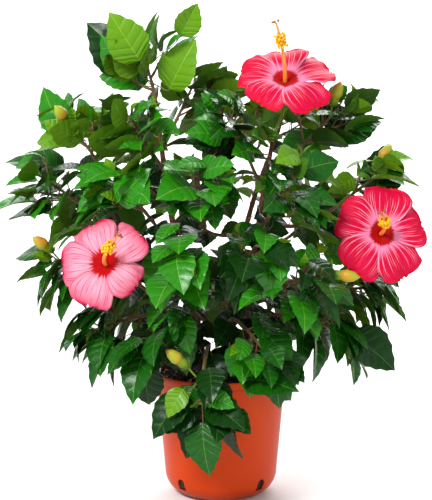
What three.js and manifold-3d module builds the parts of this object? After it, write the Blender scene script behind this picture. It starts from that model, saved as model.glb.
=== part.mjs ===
import * as THREE from 'three';
import { mergeVertices } from 'three/addons/utils/BufferGeometryUtils.js';
import Module from 'manifold-3d';

const wasm = await Module();
wasm.setup();

// Driving sizes in millimetres, angles in degrees. +Z is up, the front of the plant is at -Y,
// and the origin is the middle of the pot's flat underside.
const potHeight = 203;
const potTopRadius = 106.5;
const potDraft = 5;
const potWall = 2.4;
const potCornerRadius = 36;
const potCornerSteps = 3;
const rimLip = 2.6;
const rimDepth = 11;
const potSides = 28;
const soilDepthBelowRim = 13;
const touchGap = 0.3;
const slotWidth = 15;
const slotLow = 17;
const slotHigh = 36;
const slotCount = 4;

const limbClearance = 3.5;
const spaceMargin = 1;
const potClearance = 3;
const rootClearance = 9;
const budRootClearance = 14;
const leafWidthShare = 0.76;
const leafThickness = 1.3;
const leafGap = 2;
const sharpestBend = -0.5;
const leafTries = 20;
const tryTurn = 12;
const tryShrink = 0.016;
const petioleRadius = 1.1;
const budRadius = 6.5;
const goldenTurn = 137.5;

const colours = {
  pot: 0xd9480f,
  soil: 0x1d1712,
  stem: 0x5a3420,
  bough: 0x6b4a2a,
  leaf: 0x2c6b18,
  bloom: 0xe8205a,
  paleBloom: 0xf27fa0,
};

// Stems rise from the soil. Each is a cubic curve: foot, two guides, tip.
const stems = [
  {
    name: 'stem_middle', radius: 7.4,
    foot: [-14, -8], low: [-66, -12, 330], high: [-88, 4, 500], tip: [-104, -10, 640],
  },
  {
    name: 'stem_left', radius: 6.6,
    foot: [-44, -14], low: [-80, -34, 300], high: [-164, -46, 430], tip: [-196, -36, 540],
  },
  {
    name: 'stem_right', radius: 7,
    foot: [34, -6], low: [48, -10, 330], high: [60, -14, 480], tip: [84, -28, 584],
  },
  {
    name: 'stem_back', radius: 6.4,
    foot: [4, 38], low: [14, 58, 320], high: [40, 84, 450], tip: [82, 92, 548],
  },
];
const stemSides = 6;
const stemSteps = 10;
const stemSunk = 14;
const stemTipRadius = 3.4;
const flareReach = 11;
const flareShare = 0.7;

// Leafy shoots, each round its own middle. A bough carries a shoot out from the share `at` of
// its stem's length, unless it sits on the stem's tip, at 1, or is one that needs no bough.
// A shoot points away from the crown's heart, and its leaves fall the more the lower it stands.
const crownHeart = new THREE.Vector3(-10, 0, 300);
const shoots = [
  { name: 'top_middle', middle: [-116, -12, 690], stem: 'stem_middle', at: 1, leaves: 7, seed: 3 },
  { name: 'top_back', middle: [-44, 46, 634], stem: 'stem_middle', at: 0.82, leaves: 10, seed: 5 },
  { name: 'front_high_left', middle: [-134, -84, 584], stem: 'stem_middle', at: 0.74, leaves: 10, seed: 7 },
  { name: 'upper_mid', middle: [14, -84, 586], stem: 'stem_right', at: 0.74, leaves: 10, seed: 11 },
  { name: 'left_high', middle: [-234, -34, 602], stem: 'stem_left', at: 1, leaves: 9, seed: 13 },
  { name: 'right_high', middle: [180, -16, 598], stem: 'stem_right', at: 0.78, leaves: 8, seed: 17 },
  { name: 'left_far', middle: [-274, -20, 492], stem: 'stem_left', at: 0.68, leaves: 8, seed: 19 },
  { name: 'front_left', middle: [-152, -126, 500], stem: 'stem_left', at: 0.6, leaves: 10, seed: 23 },
  { name: 'front_mid', middle: [-34, -142, 502], stem: 'stem_middle', at: 0.56, leaves: 11, seed: 29 },
  { name: 'right_front', middle: [104, -130, 496], stem: 'stem_right', at: 0.52, leaves: 10, seed: 31 },
  { name: 'right_far', middle: [238, -20, 494], stem: 'stem_right', at: 0.62, leaves: 9, seed: 37 },
  { name: 'left_mid', middle: [-250, -46, 366], stem: 'stem_left', at: 0.38, leaves: 10, seed: 41 },
  { name: 'front_centre', middle: [-62, -160, 408], stem: 'stem_middle', at: 0.36, leaves: 10, seed: 43 },
  { name: 'front_right_centre', middle: [48, -164, 402], stem: 'stem_right', at: 0.34, leaves: 9, seed: 47 },
  { name: 'right_mid', middle: [142, -136, 356], stem: 'stem_right', at: 0.24, leaves: 10, seed: 53 },
  { name: 'right_far_low', middle: [236, 0, 318], stem: 'stem_right', at: 0.3, leaves: 10, seed: 59 },
  { name: 'left_low', middle: [-188, -40, 260], stem: 'stem_left', at: 0.16, leaves: 11, seed: 61 },
  { name: 'front_low_left', middle: [-100, -124, 258], stem: 'stem_middle', at: 0.17, leaves: 9, seed: 67 },
  { name: 'front_low', middle: [-30, -164, 182], stem: 'stem_middle', at: 0.09, leaves: 7, seed: 71 },
  { name: 'front_low_right', middle: [60, -142, 248], stem: 'stem_right', at: 0.1, leaves: 8, seed: 73 },
  { name: 'right_low', middle: [178, -62, 262], stem: 'stem_right', at: 0.15, leaves: 9, seed: 79 },
  { name: 'back_high', middle: [100, 108, 590], stem: 'stem_back', at: 1, leaves: 9, seed: 83 },
  { name: 'back_high_left', middle: [-172, 108, 568], stem: 'stem_middle', at: 0.64, leaves: 9, seed: 89 },
  { name: 'back_left', middle: [-230, 124, 430], stem: 'stem_left', at: 0.46, leaves: 9, seed: 97 },
  { name: 'back_mid', middle: [-48, 180, 478], stem: 'stem_back', at: 0.6, leaves: 9, seed: 101 },
  { name: 'back_right', middle: [184, 140, 440], stem: 'stem_back', at: 0.56, leaves: 9, seed: 103 },
  { name: 'back_low_left', middle: [-150, 138, 290], stem: 'stem_back', at: 0.12, leaves: 9, seed: 107 },
  { name: 'back_low_right', middle: [156, 134, 282], stem: 'stem_back', at: 0.18, leaves: 9, seed: 109 },
  { name: 'back_low', middle: [4, 196, 300], stem: 'stem_back', at: 0.28, leaves: 9, seed: 113 },
];
const shootsWithNoBough = ['top_back', 'front_high_left', 'upper_mid', 'right_high'];
const shootLength = 104;
const shootPast = 0.12;
const shootLift = 20;
const tipShare = 0.62;
const low = { height: 230, pitch: -60, blade: 104 };
const high = { height: 700, pitch: 38, blade: 82 };
const tipLift = 56;

// Leaves that stand out from the outline, each with the way its petiole and its blade point
// (heading and rise), their lengths, and the way the blade faces
const markedLeaves = [
  { shoot: 'top_middle', share: 0.9, petiole: [351, 40, 72], blade: [4, 64, 59], face: [292, 10] },
  { shoot: 'top_middle', share: 0.5, petiole: [340, -18, 32], blade: [340, 60, 88], face: [254, 12] },
  { shoot: 'top_middle', share: 0.6, petiole: [250, 33, 49], blade: [205, 55, 88], face: [262, 12] },
  { shoot: 'top_middle', share: 0.5, petiole: [141, 29, 39], blade: [183, 48, 110], face: [250, 20] },
  { shoot: 'left_high', share: 0.9, petiole: [144, 18, 24], blade: [172, 58, 78], face: [244, 20] },
  { shoot: 'left_far', share: 0.8, petiole: [76, 24, 50], blade: [180, 14, 98], face: [286, 48] },
  { shoot: 'left_far', share: 0.9, petiole: [280, -74, 48], blade: [152, -2, 84], face: [244, 68] },
  { shoot: 'right_high', share: 0.6, petiole: [28, 2, 58], blade: [8, 24, 74], face: [256, 28] },
  { shoot: 'right_high', share: 0.7, petiole: [80, 10, 14], blade: [176, -48, 90], face: [265, 46] },
  { shoot: 'right_far', share: 0.5, petiole: [20, 2, 42], blade: [48, 62, 98], face: [297, 24] },
  { shoot: 'right_front', share: 0.6, petiole: [44, -30, 68], blade: [140, 68, 72], face: [252, 18] },
  { shoot: 'front_left', share: 0.9, petiole: [264, -52, 38], blade: [328, 42, 74], face: [292, 36] },
  { shoot: 'front_centre', share: 0.3, petiole: [316, -72, 44], blade: [268, -14, 66], face: [250, 44] },
  {
    shoot: 'front_right_centre', share: 0.8,
    petiole: [324, -44, 68], blade: [212, -16, 76], face: [252, 66],
  },
  { shoot: 'right_mid', share: 0.9, petiole: [240, -6, 34], blade: [44, -66, 66], face: [287, 32] },
  { shoot: 'front_low', share: 0.9, petiole: [284, -77, 45], blade: [282, -78, 81], face: [250, 26] },
  { shoot: 'front_low', share: 0.9, petiole: [353, -35, 60], blade: [71, -76, 80], face: [213, 32] },
  { shoot: 'front_low_left', share: 0.9, petiole: [133, -62, 49], blade: [99, -76, 77], face: [266, 20] },
  { shoot: 'front_low_right', share: 0.7, petiole: [243, -56, 67], blade: [346, -2, 85], face: [268, 42] },
  { shoot: 'right_low', share: 0.7, petiole: [336, -12, 52], blade: [356, -38, 92], face: [246, 42] },
  { shoot: 'front_low', share: 0.9, petiole: [217, 18, 35], blade: [211, -54, 49], face: [262, 30] },
  { shoot: 'front_low', share: 0.9, petiole: [291, 5, 37], blade: [336, -20, 41], face: [266, 34] },
  { shoot: 'front_low_right', share: 0.9, petiole: [334, -19, 40], blade: [318, -73, 65], face: [280, 34] },
  { shoot: 'front_low', share: 0.9, petiole: [155, 41, 19], blade: [204, 4, 38], face: [265, 20] },
  { shoot: 'front_low_left', share: 0.9, petiole: [315, -19, 25], blade: [336, -59, 40], face: [266, 26] },
  { shoot: 'front_low_right', share: 0.7, petiole: [226, -34, 29], blade: [221, -66, 51], face: [275, 28] },
];

// Flower buds: on which shoot, where on its leader, the way they point, and their length
const budStalk = 0.42;
const buds = [
  { shoot: 'left_high', share: 0.9, points: [230, 48], length: 62 },
  { shoot: 'left_mid', share: 0.92, points: [218, 40], length: 66 },
  { shoot: 'front_low', share: 0.76, points: [190, 44], length: 76 },
  { shoot: 'right_mid', share: 0.86, points: [345, 2], length: 70 },
  { shoot: 'right_high', share: 0.88, points: [300, 62], length: 64 },
  { shoot: 'right_far', share: 0.9, points: [20, 58], length: 66 },
];

// Open flowers: the limb that the stalk leaves, the eye of the flower, and where it faces.
const blooms = [
  {
    name: 'bloom_top', colour: 'bloom', limb: 'stem_right', at: 1,
    eye: [99, -60, 674], heading: 268, rise: 50, spin: 20, radius: 79, tip: [-15, -38, 80],
  },
  {
    name: 'bloom_right', colour: 'bloom', limb: 'bough_right_mid', at: 0.8,
    eye: [246, -112, 440], heading: 282, rise: 20, spin: 8, radius: 76, tip: [-3, -32, 30],
  },
  {
    name: 'bloom_left', colour: 'paleBloom', limb: 'stem_left', at: 0.46,
    eye: [-174, -164, 400], heading: 260, rise: 22, spin: 40, radius: 68, tip: [20, -35, 43],
  },
];
const calyxBack = 48;
const bloomGuardBack = 34;
const bloomGuardFront = 62;
const bloomGuardEdge = 7;

// Boughs arrive level or rising, on a bend whose guide lies this share of their span back
const boughSides = 4;
const boughSteps = 3;
const boughTipRadius = 2.7;
const boughRootShare = 0.72;
const boughGuideShare = 0.45;
const lowestArrival = -0.1;

// Side twigs: how far along the leafy stretch, how far they spread, and how long they are
const sideTwigs = [
  { along: 0.22, spread: 62, length: 58 },
  { along: 0.55, spread: 52, length: 48 },
];
const leaderShare = 0.46;
const sideShare = 0.27;
const sideBare = 0.3;
const sideTurn = 30;
const sideRadiusShare = 0.9;
const sideLift = 0.25;
const twigSteps = 2;
const twigRadius = 3.3;
const twigTipRadius = 2.5;
const twigGuideShare = 0.42;
const leafyShare = 0.9;
const leastBare = 0.1;

// How a leaf stands: the ways its petiole leans and its face turns, and what varies by chance
const lean = { spoke: 0.85, ahead: 0.35, aheadByShare: 0.3, outward: 0.3 };
const light = { up: 0.55, outward: 0.8, ahead: 0.1, sway: 0.34 };
const leafSize = { atFoot: 1.08, lossAtTip: 0.42, range: [0.84, 1.1] };
const leafDraws = {
  stalk: [0.22, 0.4],
  fall: [-18, 18],
  roll: [-1, 1],
  tip: [-1, 1],
  breadth: [0.88, 1.08],
};

// Petals: where they start, how they widen and how their middle rises, against their reach
const petal = {
  foot: 3, growth: 0.8, width: 0.52, narrow: 0.72, widen: 0.34,
  rise: 15, sink: 6, twist: 5, halfThickness: 1.1,
};
const stalkRadius = 2.5;
const stalkSwell = 1.2;
const cupRadius = 5;
const cupSwell = 8;
const columnRadius = 2.4;
const antherRadius = 4.5;
const antherSwell = 3.5;
const antherShares = [0.46, 0.78];
const stigmaRadius = 4.6;

const degrees = Math.PI / 180;
const up = new THREE.Vector3(0, 0, 1);
const soilTop = potHeight - soilDepthBelowRim;

// Vectors, headings and seeded numbers
function vector(values) {
  return new THREE.Vector3(...values);
}

function pointing(heading, rise) {
  return new THREE.Vector3(
    Math.cos(rise * degrees) * Math.cos(heading * degrees),
    Math.cos(rise * degrees) * Math.sin(heading * degrees),
    Math.sin(rise * degrees),
  );
}

function step(start, direction, distance) {
  return start.clone().addScaledVector(direction, distance);
}

function outwardFrom(point, fallback) {
  const flat = new THREE.Vector3(point.x, point.y, 0);
  return flat.length() > 1 ? flat.normalize() : fallback.clone();
}

function seededDraw(seed) {
  let state = seed >>> 0;
  const next = (low, high) => {
    state = (Math.imul(state, 1664525) + 1013904223) >>> 0;
    return low + (high - low) * state / 4294967296;
  };
  next(0, 1);
  next(0, 1);
  next(0, 1);
  return next;
}

// Solids and meshes
function bare(geometry) {
  geometry.deleteAttribute('normal');
  geometry.deleteAttribute('uv');
  return mergeVertices(geometry, 1e-4);
}

function solidOf(geometry) {
  const corners = geometry.index.array;
  const triangles = [];
  for (let i = 0; i < corners.length; i += 3) {
    const [a, b, c] = corners.slice(i, i + 3);
    if (a !== b && b !== c && c !== a) {
      triangles.push(a, b, c);
    }
  }
  return new wasm.Manifold(new wasm.Mesh({
    numProp: 3,
    vertProperties: new Float32Array(geometry.attributes.position.array),
    triVerts: new Uint32Array(triangles),
  }));
}

function meshOf(name, solid, colour, roughness) {
  const { vertProperties, triVerts } = solid.getMesh();
  const geometry = new THREE.BufferGeometry();
  geometry.setAttribute('position', new THREE.BufferAttribute(vertProperties, 3));
  geometry.setIndex(new THREE.BufferAttribute(triVerts, 1));
  const material = new THREE.MeshStandardMaterial({ color: colour, roughness, metalness: 0 });
  const mesh = new THREE.Mesh(geometry, material);
  mesh.name = name;
  return mesh;
}

function reshape(blank, place) {
  const geometry = blank.clone();
  const position = geometry.attributes.position;
  const corner = new THREE.Vector3();
  for (let i = 0; i < position.count; i++) {
    corner.fromBufferAttribute(position, i);
    const { x, y, z } = place(corner);
    position.setXYZ(i, x, y, z);
  }
  return geometry;
}

// A limb is a capped cylinder bent along a curve, its radius set by the share of the way
function limbSolid(curve, radiusAt, sides, steps) {
  const blank = bare(new THREE.CylinderGeometry(1, 1, 1, sides, steps));
  const chord = curve.getPoint(1).sub(curve.getPoint(0)).normalize();
  const reference = Math.abs(chord.z) > 0.6 ? new THREE.Vector3(0, 1, 0) : up;
  return solidOf(reshape(blank, (corner) => {
    const share = corner.y + 0.5;
    const tangent = curve.getTangent(share);
    const across = new THREE.Vector3().crossVectors(reference, tangent).normalize();
    const third = new THREE.Vector3().crossVectors(across, tangent);
    const radius = radiusAt(share);
    return step(step(curve.getPoint(share), across, corner.x * radius), third, corner.z * radius);
  }));
}

// The space a limb needs with its gap, cut out of what grows from it
function socketOf(limb) {
  return limbSolid(limb.curve, (share) => limb.radiusAt(share) + touchGap, limb.sides, limb.steps);
}

function limbSamples(curve, radiusAt) {
  const count = Math.ceil(curve.getLength() / 5);
  const samples = [];
  for (let i = 0; i <= count; i++) {
    samples.push({ point: curve.getPoint(i / count), radius: radiusAt(i / count) });
  }
  return samples;
}

// Pot: a drafted shell with a rolled rim, a rounded foot and drain slots at its corners
function potRadiusAt(height) {
  return potTopRadius - (potHeight - height) * Math.tan(potDraft * degrees);
}

function potOutline(inset) {
  const cornerRadius = potCornerRadius - inset;
  const centreRadius = potRadiusAt(potCornerRadius) - potCornerRadius;
  const points = [];
  for (let i = 0; i <= potCornerSteps; i++) {
    const angle = (i / potCornerSteps) * 90 * degrees;
    points.push(new THREE.Vector2(
      centreRadius + cornerRadius * Math.sin(angle),
      potCornerRadius - cornerRadius * Math.cos(angle),
    ));
  }
  return points;
}

function latheSolid(points) {
  const geometry = new THREE.LatheGeometry(points, potSides);
  geometry.rotateX(Math.PI / 2);
  return solidOf(bare(geometry));
}

function makePot() {
  const outer = potOutline(0);
  const inner = potOutline(potWall);
  const rimFoot = potHeight - rimDepth;
  const shell = latheSolid([
    new THREE.Vector2(0, 0),
    ...outer,
    new THREE.Vector2(potRadiusAt(rimFoot), rimFoot),
    new THREE.Vector2(potRadiusAt(rimFoot) + rimLip, rimFoot + 1),
    new THREE.Vector2(potTopRadius + rimLip, potHeight - 1.5),
    new THREE.Vector2(potTopRadius + rimLip - 1.5, potHeight),
    new THREE.Vector2(potTopRadius - potWall, potHeight),
    ...inner.reverse(),
    new THREE.Vector2(0, potWall),
  ]);
  let pot = shell;
  for (let i = 0; i < slotCount; i++) {
    const slot = new THREE.BoxGeometry(70, slotWidth, slotHigh - slotLow);
    slot.translate(95, 0, (slotLow + slotHigh) / 2);
    slot.rotateZ(((i + 0.5) / slotCount) * 2 * Math.PI);
    pot = pot.subtract(solidOf(bare(slot)));
  }
  return meshOf('pot', pot, colours.pot, 0.5);
}

function makeSoil() {
  const inset = potWall + touchGap;
  const edge = potRadiusAt(soilTop) - inset;
  const soil = latheSolid([
    new THREE.Vector2(0, inset),
    ...potOutline(inset),
    new THREE.Vector2(edge, soilTop),
    new THREE.Vector2(0, soilTop),
  ]);
  return meshOf('soil', soil, colours.soil, 1);
}

// Stems and boughs, with the samples that leaves keep clear of
const limbs = {};

function makeLimb(name, curve, radiusAt, sides, steps) {
  limbs[name] = { curve, radiusAt, sides, steps, samples: limbSamples(curve, radiusAt) };
  return limbSolid(curve, radiusAt, sides, steps);
}

function makeStem(row) {
  const start = new THREE.Vector3(row.foot[0], row.foot[1], soilTop - stemSunk);
  const curve = new THREE.CubicBezierCurve3(start, vector(row.low), vector(row.high), vector(row.tip));
  const radiusAt = (share) => {
    const aboveSoil = Math.max(0, curve.getPoint(share).z - soilTop);
    const taper = row.radius + (stemTipRadius - row.radius) * share;
    return taper * (1 + flareShare * Math.exp(-aboveSoil / flareReach));
  };
  const ground = new THREE.BoxGeometry(400, 400, 100);
  ground.translate(0, 0, soilTop + touchGap - 50);
  const whole = makeLimb(row.name, curve, radiusAt, stemSides, stemSteps);
  return meshOf(row.name, whole.subtract(solidOf(bare(ground))), colours.stem, 0.85);
}

function hasBough(row) {
  return row.at < 1 && !shootsWithNoBough.includes(row.name);
}

// The middle of a shoot is the middle of its leaves, which hang out and down from its twigs
function alongShoot(row, share) {
  return step(step(row.middle, row.direction, shootLength * share), up, shootLift);
}

function makeBough(row) {
  const parent = limbs[row.stem];
  const start = parent.curve.getPoint(row.at);
  const end = alongShoot(row, shootPast - 1);
  const arrival = row.direction.clone();
  arrival.z = Math.max(arrival.z, lowestArrival);
  const guide = step(end, arrival.normalize(), -boughGuideShare * start.distanceTo(end));
  const curve = new THREE.QuadraticBezierCurve3(start, guide, end);
  const rootRadius = parent.radiusAt(row.at) * boughRootShare;
  const radiusAt = (share) => rootRadius + (boughTipRadius - rootRadius) * share;
  const name = `bough_${row.name}`;
  const whole = makeLimb(name, curve, radiusAt, boughSides, boughSteps);
  return meshOf(name, whole.subtract(socketOf(parent)), colours.bough, 0.8);
}

// The leader of a shoot goes on from its bough or its stem's tip, or leaves the stem's side
function makeLeader(row) {
  const parent = limbs[hasBough(row) ? `bough_${row.name}` : row.stem];
  const fromTip = !shootsWithNoBough.includes(row.name);
  const start = parent.curve.getPoint(fromTip ? 1 : row.at);
  const tipEnd = step(start, row.direction, shootLength * tipShare);
  const end = row.at === 1 ? tipEnd : alongShoot(row, shootPast);
  const straight = end.clone().sub(start).normalize();
  const lead = fromTip ? parent.curve.getTangent(1) : straight;
  if (fromTip) {
    start.addScaledVector(lead, touchGap);
  }
  const length = start.distanceTo(end);
  const curve = new THREE.QuadraticBezierCurve3(start, step(start, lead, length * twigGuideShare), end);
  return {
    curve, start, fromTip, parent, length, radius: twigRadius, outward: outwardFrom(end, straight),
    bare: Math.max(leastBare, 1 - shootLength * leafyShare / length), leaves: row.leaves * leaderShare,
  };
}

// Flowers: where each stands, and the guard that leaves stay out of
function bloomFrame(row) {
  const normal = pointing(row.heading, row.rise);
  const across = new THREE.Vector3().crossVectors(up, normal).normalize();
  const over = new THREE.Vector3().crossVectors(normal, across);
  return { eye: vector(row.eye), normal, across, over };
}

function stalkCurve(row) {
  const { eye, normal } = bloomFrame(row);
  const parent = limbs[row.limb];
  const start = parent.curve.getPoint(row.at);
  const lead = row.at === 1 ? parent.curve.getTangent(1) : up;
  if (row.at === 1) {
    start.addScaledVector(lead, touchGap);
  }
  const end = step(eye, normal, -calyxBack);
  const reach = start.distanceTo(end) * 0.38;
  return new THREE.CubicBezierCurve3(start, step(start, lead, reach), step(end, normal, -reach), end);
}

function columnCurve({ eye, normal }, reach) {
  const tip = new THREE.Vector3(...reach);
  const bend = step(eye, normal, tip.length() * 0.55);
  return new THREE.QuadraticBezierCurve3(step(eye, normal, -6), bend, tip.add(eye));
}

function insideBloomGuard(point) {
  return blooms.some((row) => {
    const { eye, normal } = bloomFrame(row);
    const offset = point.clone().sub(eye);
    const height = offset.dot(normal);
    const radial = offset.addScaledVector(normal, -height).length();
    return height > -bloomGuardBack && height < bloomGuardFront && radial < row.radius + bloomGuardEdge;
  });
}

const petalBlank = bare(new THREE.SphereGeometry(1, 8, 2));

function petalSolid(frame, angle, reach) {
  const outward = step(frame.across.clone().multiplyScalar(Math.cos(angle)), frame.over, Math.sin(angle));
  const sideways = new THREE.Vector3().crossVectors(outward, frame.normal);
  return solidOf(reshape(petalBlank, (corner) => {
    const along = (1 + corner.x) / 2;
    const radial = petal.foot + (reach - petal.foot) * along ** petal.growth;
    const across = corner.z * reach * petal.width * (petal.narrow + petal.widen * along);
    const crown = petal.rise * Math.sin(Math.PI * along * 0.9) - petal.sink;
    const height = crown + corner.z * petal.twist + corner.y * petal.halfThickness;
    return step(step(step(frame.eye, outward, radial), sideways, across), frame.normal, height);
  }));
}

function makeBloom(row) {
  const frame = bloomFrame(row);
  const stalk = stalkCurve(row);
  const parent = limbs[row.limb];
  let solid = limbSolid(stalk, (share) => stalkRadius + stalkSwell * share ** 4, 4, 5);
  if (row.at < 1) {
    solid = solid.subtract(socketOf(parent));
  }
  const cupFoot = step(frame.eye, frame.normal, -calyxBack - 3);
  const cup = new THREE.LineCurve3(cupFoot, step(frame.eye, frame.normal, 1));
  solid = solid.add(limbSolid(cup, (share) => cupRadius + cupSwell * Math.min(1, share * 1.7), 6, 3));
  for (let i = 0; i < 5; i++) {
    solid = solid.add(petalSolid(frame, (row.spin + i * 72) * degrees, row.radius));
  }
  const column = columnCurve(frame, row.tip);
  solid = solid.add(limbSolid(column, () => columnRadius, 4, 3));
  const anthers = new THREE.LineCurve3(...antherShares.map((share) => column.getPoint(share)));
  const antherRadiusAt = (share) => antherRadius + antherSwell * Math.sin(Math.PI * share);
  solid = solid.add(limbSolid(anthers, antherRadiusAt, 6, 2));
  const stigma = bare(new THREE.SphereGeometry(stigmaRadius, 5, 3));
  const top = column.getPoint(1);
  stigma.translate(top.x, top.y, top.z);
  solid = solid.add(solidOf(stigma));
  return meshOf(row.name, solid, colours[row.colour], 0.6);
}

// A leaf's frame: axis runs from the foot of the blade to its tip, normal is its upper face.
// It is one three-sided cone, bent into petiole and blade: two edges and a keel below.
const leafRings = [
  { along: 0.13, halfWidth: 0.4 },
  { along: 0.56, halfWidth: 0.46 },
  { along: 1, halfWidth: 0 },
];
const leafBlank = bare(new THREE.ConeGeometry(1, 1, 3, leafRings.length + 1));

function bladeArch(leaf, along) {
  return leaf.length * (0.22 * along - 0.33 * along * along);
}

function bladePoint(leaf, along, across, lift) {
  const foot = step(leaf.foot, leaf.axis, along * leaf.length);
  return step(step(foot, leaf.side, across), leaf.normal, bladeArch(leaf, along) + lift);
}

function leafSolid(leaf) {
  const ringCount = leafRings.length + 1;
  return solidOf(reshape(leafBlank, (corner) => {
    const ring = Math.round((corner.y + 0.5) * ringCount);
    const spread = 1 - ring / ringCount;
    const x = spread > 0 ? corner.x / spread : 0;
    const z = spread > 0 ? corner.z / spread : 1;
    if (ring < 2) {
      const middle = ring === 0 ? leaf.node : leaf.foot;
      const run = ring === 0 ? leaf.stalk : leaf.stalk.clone().add(leaf.axis).normalize();
      const wide = step(leaf.side, run, -leaf.side.dot(run)).normalize();
      const deep = new THREE.Vector3().crossVectors(wide, run);
      return step(step(middle, wide, -x * petioleRadius), deep, -z * petioleRadius);
    }
    const { along, halfWidth } = leafRings[ring - 2];
    const keel = (z + 0.5) / 1.5;
    return bladePoint(leaf, along, -x / 0.866 * halfWidth * leaf.width, -keel * leafThickness);
  }));
}

// Points that stand for a leaf: its petiole, and the outline and midrib of its blade
function leafPoints(leaf) {
  const points = [0.35, 0.55, 0.75, 1].map((share) => step(leaf.node, leaf.stalk, leaf.petiole * share));
  for (const [along, halfWidth] of [[0.13, 0.4], [0.35, 0.48], [0.56, 0.46], [0.8, 0.22]]) {
    points.push(bladePoint(leaf, along, halfWidth * leaf.width, 0));
    points.push(bladePoint(leaf, along, -halfWidth * leaf.width, 0));
    points.push(bladePoint(leaf, along, 0, 0));
  }
  points.push(bladePoint(leaf, 1, 0, 0));
  return points;
}

function heightShare(point) {
  return Math.min(1, Math.max(0, (point.z - low.height) / (high.height - low.height)));
}

// The way that leaves a twig sideways, turned round it by an angle
function spokeAround(tangent, turn) {
  const reference = Math.abs(tangent.z) > 0.8 ? new THREE.Vector3(1, 0, 0) : up;
  const level = new THREE.Vector3().crossVectors(tangent, reference).normalize();
  const other = new THREE.Vector3().crossVectors(tangent, level);
  return step(level.multiplyScalar(Math.cos(turn * degrees)), other, Math.sin(turn * degrees));
}

// A leaf on its twig: the petiole leaves the twig sideways, and the blade falls from its end
// and turns its face to the light.
function placeLeaf(twig, share, turn, size, draw) {
  const node = pointOnTwig(twig.curve, share);
  const tangent = twig.curve.getTangent(share);
  const outward = outwardFrom(node, twig.outward);
  const spoke = spokeAround(tangent, turn);
  const ahead = lean.ahead + lean.aheadByShare * share;
  const leaning = step(step(spoke.multiplyScalar(lean.spoke), tangent, ahead), outward, lean.outward);
  const stalk = leaning.normalize();
  const climb = heightShare(node);
  const length = (low.blade + (high.blade - low.blade) * climb) * size;
  const petiole = length * draw.stalk;
  const flat = new THREE.Vector3(stalk.x, stalk.y, 0);
  const level = flat.length() > 0.15 ? flat.normalize() : outward.clone();
  const rise = low.pitch + (high.pitch - low.pitch) * climb * climb + tipLift * (share - 0.45);
  const pitch = (rise + draw.fall) * degrees;
  const axis = step(level.clone().multiplyScalar(Math.cos(pitch)), up, Math.sin(pitch));
  const sway = new THREE.Vector3(draw.roll, draw.tip, 0).multiplyScalar(light.sway);
  const facing = step(step(step(sway, up, light.up), outward, light.outward), level, light.ahead);
  const normal = facing.addScaledVector(axis, -facing.dot(axis)).normalize();
  const side = new THREE.Vector3().crossVectors(axis, normal);
  return finishLeaf({ node, stalk, petiole, axis, normal, side, length, breadth: draw.breadth });
}

function finishLeaf(leaf) {
  leaf.width = leaf.length * leafWidthShare * leaf.breadth;
  leaf.foot = step(leaf.node, leaf.stalk, leaf.petiole);
  leaf.points = leafPoints(leaf);
  return leaf;
}

function placeMarkedLeaf(row, twig) {
  const [stalkHeading, stalkRise, petiole] = row.petiole;
  const [heading, rise, length] = row.blade;
  const axis = pointing(heading, rise);
  const face = pointing(...row.face);
  const normal = face.addScaledVector(axis, -face.dot(axis)).normalize();
  const side = new THREE.Vector3().crossVectors(axis, normal);
  const node = pointOnTwig(twig.curve, row.share);
  const stalk = pointing(stalkHeading, stalkRise);
  return finishLeaf({ node, stalk, petiole, axis, normal, side, length, breadth: 1 });
}

function insideOwnSpace(point, own) {
  return shoots.every((other) => {
    if (other === own) {
      return true;
    }
    const farther = point.distanceToSquared(other.middle) - point.distanceToSquared(own.middle);
    return farther / (2 * own.middle.distanceTo(other.middle)) > spaceMargin;
  });
}

function clearOfPot(point) {
  const radial = Math.hypot(point.x, point.y);
  return point.z > potHeight + potClearance || radial > potTopRadius + rimLip + potClearance;
}

function leafTouches(leaf, point, reach) {
  const offset = point.clone().sub(leaf.foot);
  const along = offset.dot(leaf.axis) / leaf.length;
  const across = offset.dot(leaf.side);
  const height = offset.dot(leaf.normal) - bladeArch(leaf, along);
  const forward = (along - 0.48) / (0.52 + reach / leaf.length);
  const sideways = across / (leaf.width / 2 + reach);
  return Math.abs(height) < reach && forward * forward + sideways * sideways < 1;
}

function pointTouches(point, radius, sample) {
  return point.distanceTo(sample.point) < radius + sample.radius + limbClearance;
}

function leavesCross(leaf, other) {
  return leaf.points.some((point) => leafTouches(other, point, leafGap))
    || other.points.some((point) => leafTouches(leaf, point, leafGap));
}

function leafFits(row, leaf, obstacles, grown) {
  if (leaf.stalk.dot(leaf.axis) < sharpestBend) {
    return false;
  }
  const keepsOut = (point) => insideOwnSpace(point, row) && clearOfPot(point) && !insideBloomGuard(point);
  if (!leaf.points.every(keepsOut)) {
    return false;
  }
  const hit = (sample) => {
    if (sample.own && sample.point.distanceTo(leaf.node) < rootClearance) {
      return false;
    }
    return leafTouches(leaf, sample.point, sample.radius + (sample.own ? 1 : limbClearance));
  };
  if (obstacles.some(hit)) {
    return false;
  }
  const stalkMiddle = leaf.points[1];
  if (obstacles.some((sample) => !sample.own && pointTouches(stalkMiddle, petioleRadius, sample))) {
    return false;
  }
  return grown.every((other) => !leavesCross(leaf, other));
}

// Each leaf gets several tries, each turned further and a little smaller, and is left out
// where none finds room
function growLeaves(row, twig, count, turnStart, obstacles, grown, random) {
  let turn = turnStart;
  for (let i = 0; i < count; i++) {
    const share = twig.bare + (0.96 - twig.bare) * (i + 1) / count;
    turn += goldenTurn;
    const size = (leafSize.atFoot - leafSize.lossAtTip * share * share) * random(...leafSize.range);
    for (let k = 0; k < leafTries; k++) {
      const draw = {};
      for (const [what, range] of Object.entries(leafDraws)) {
        draw[what] = random(...range);
      }
      const turned = turn + random(-tryTurn, tryTurn) * k;
      const leaf = placeLeaf(twig, share, turned, size * (1 - tryShrink * k), draw);
      if (leafFits(row, leaf, obstacles, grown)) {
        grown.push(leaf);
        break;
      }
    }
  }
}

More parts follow.
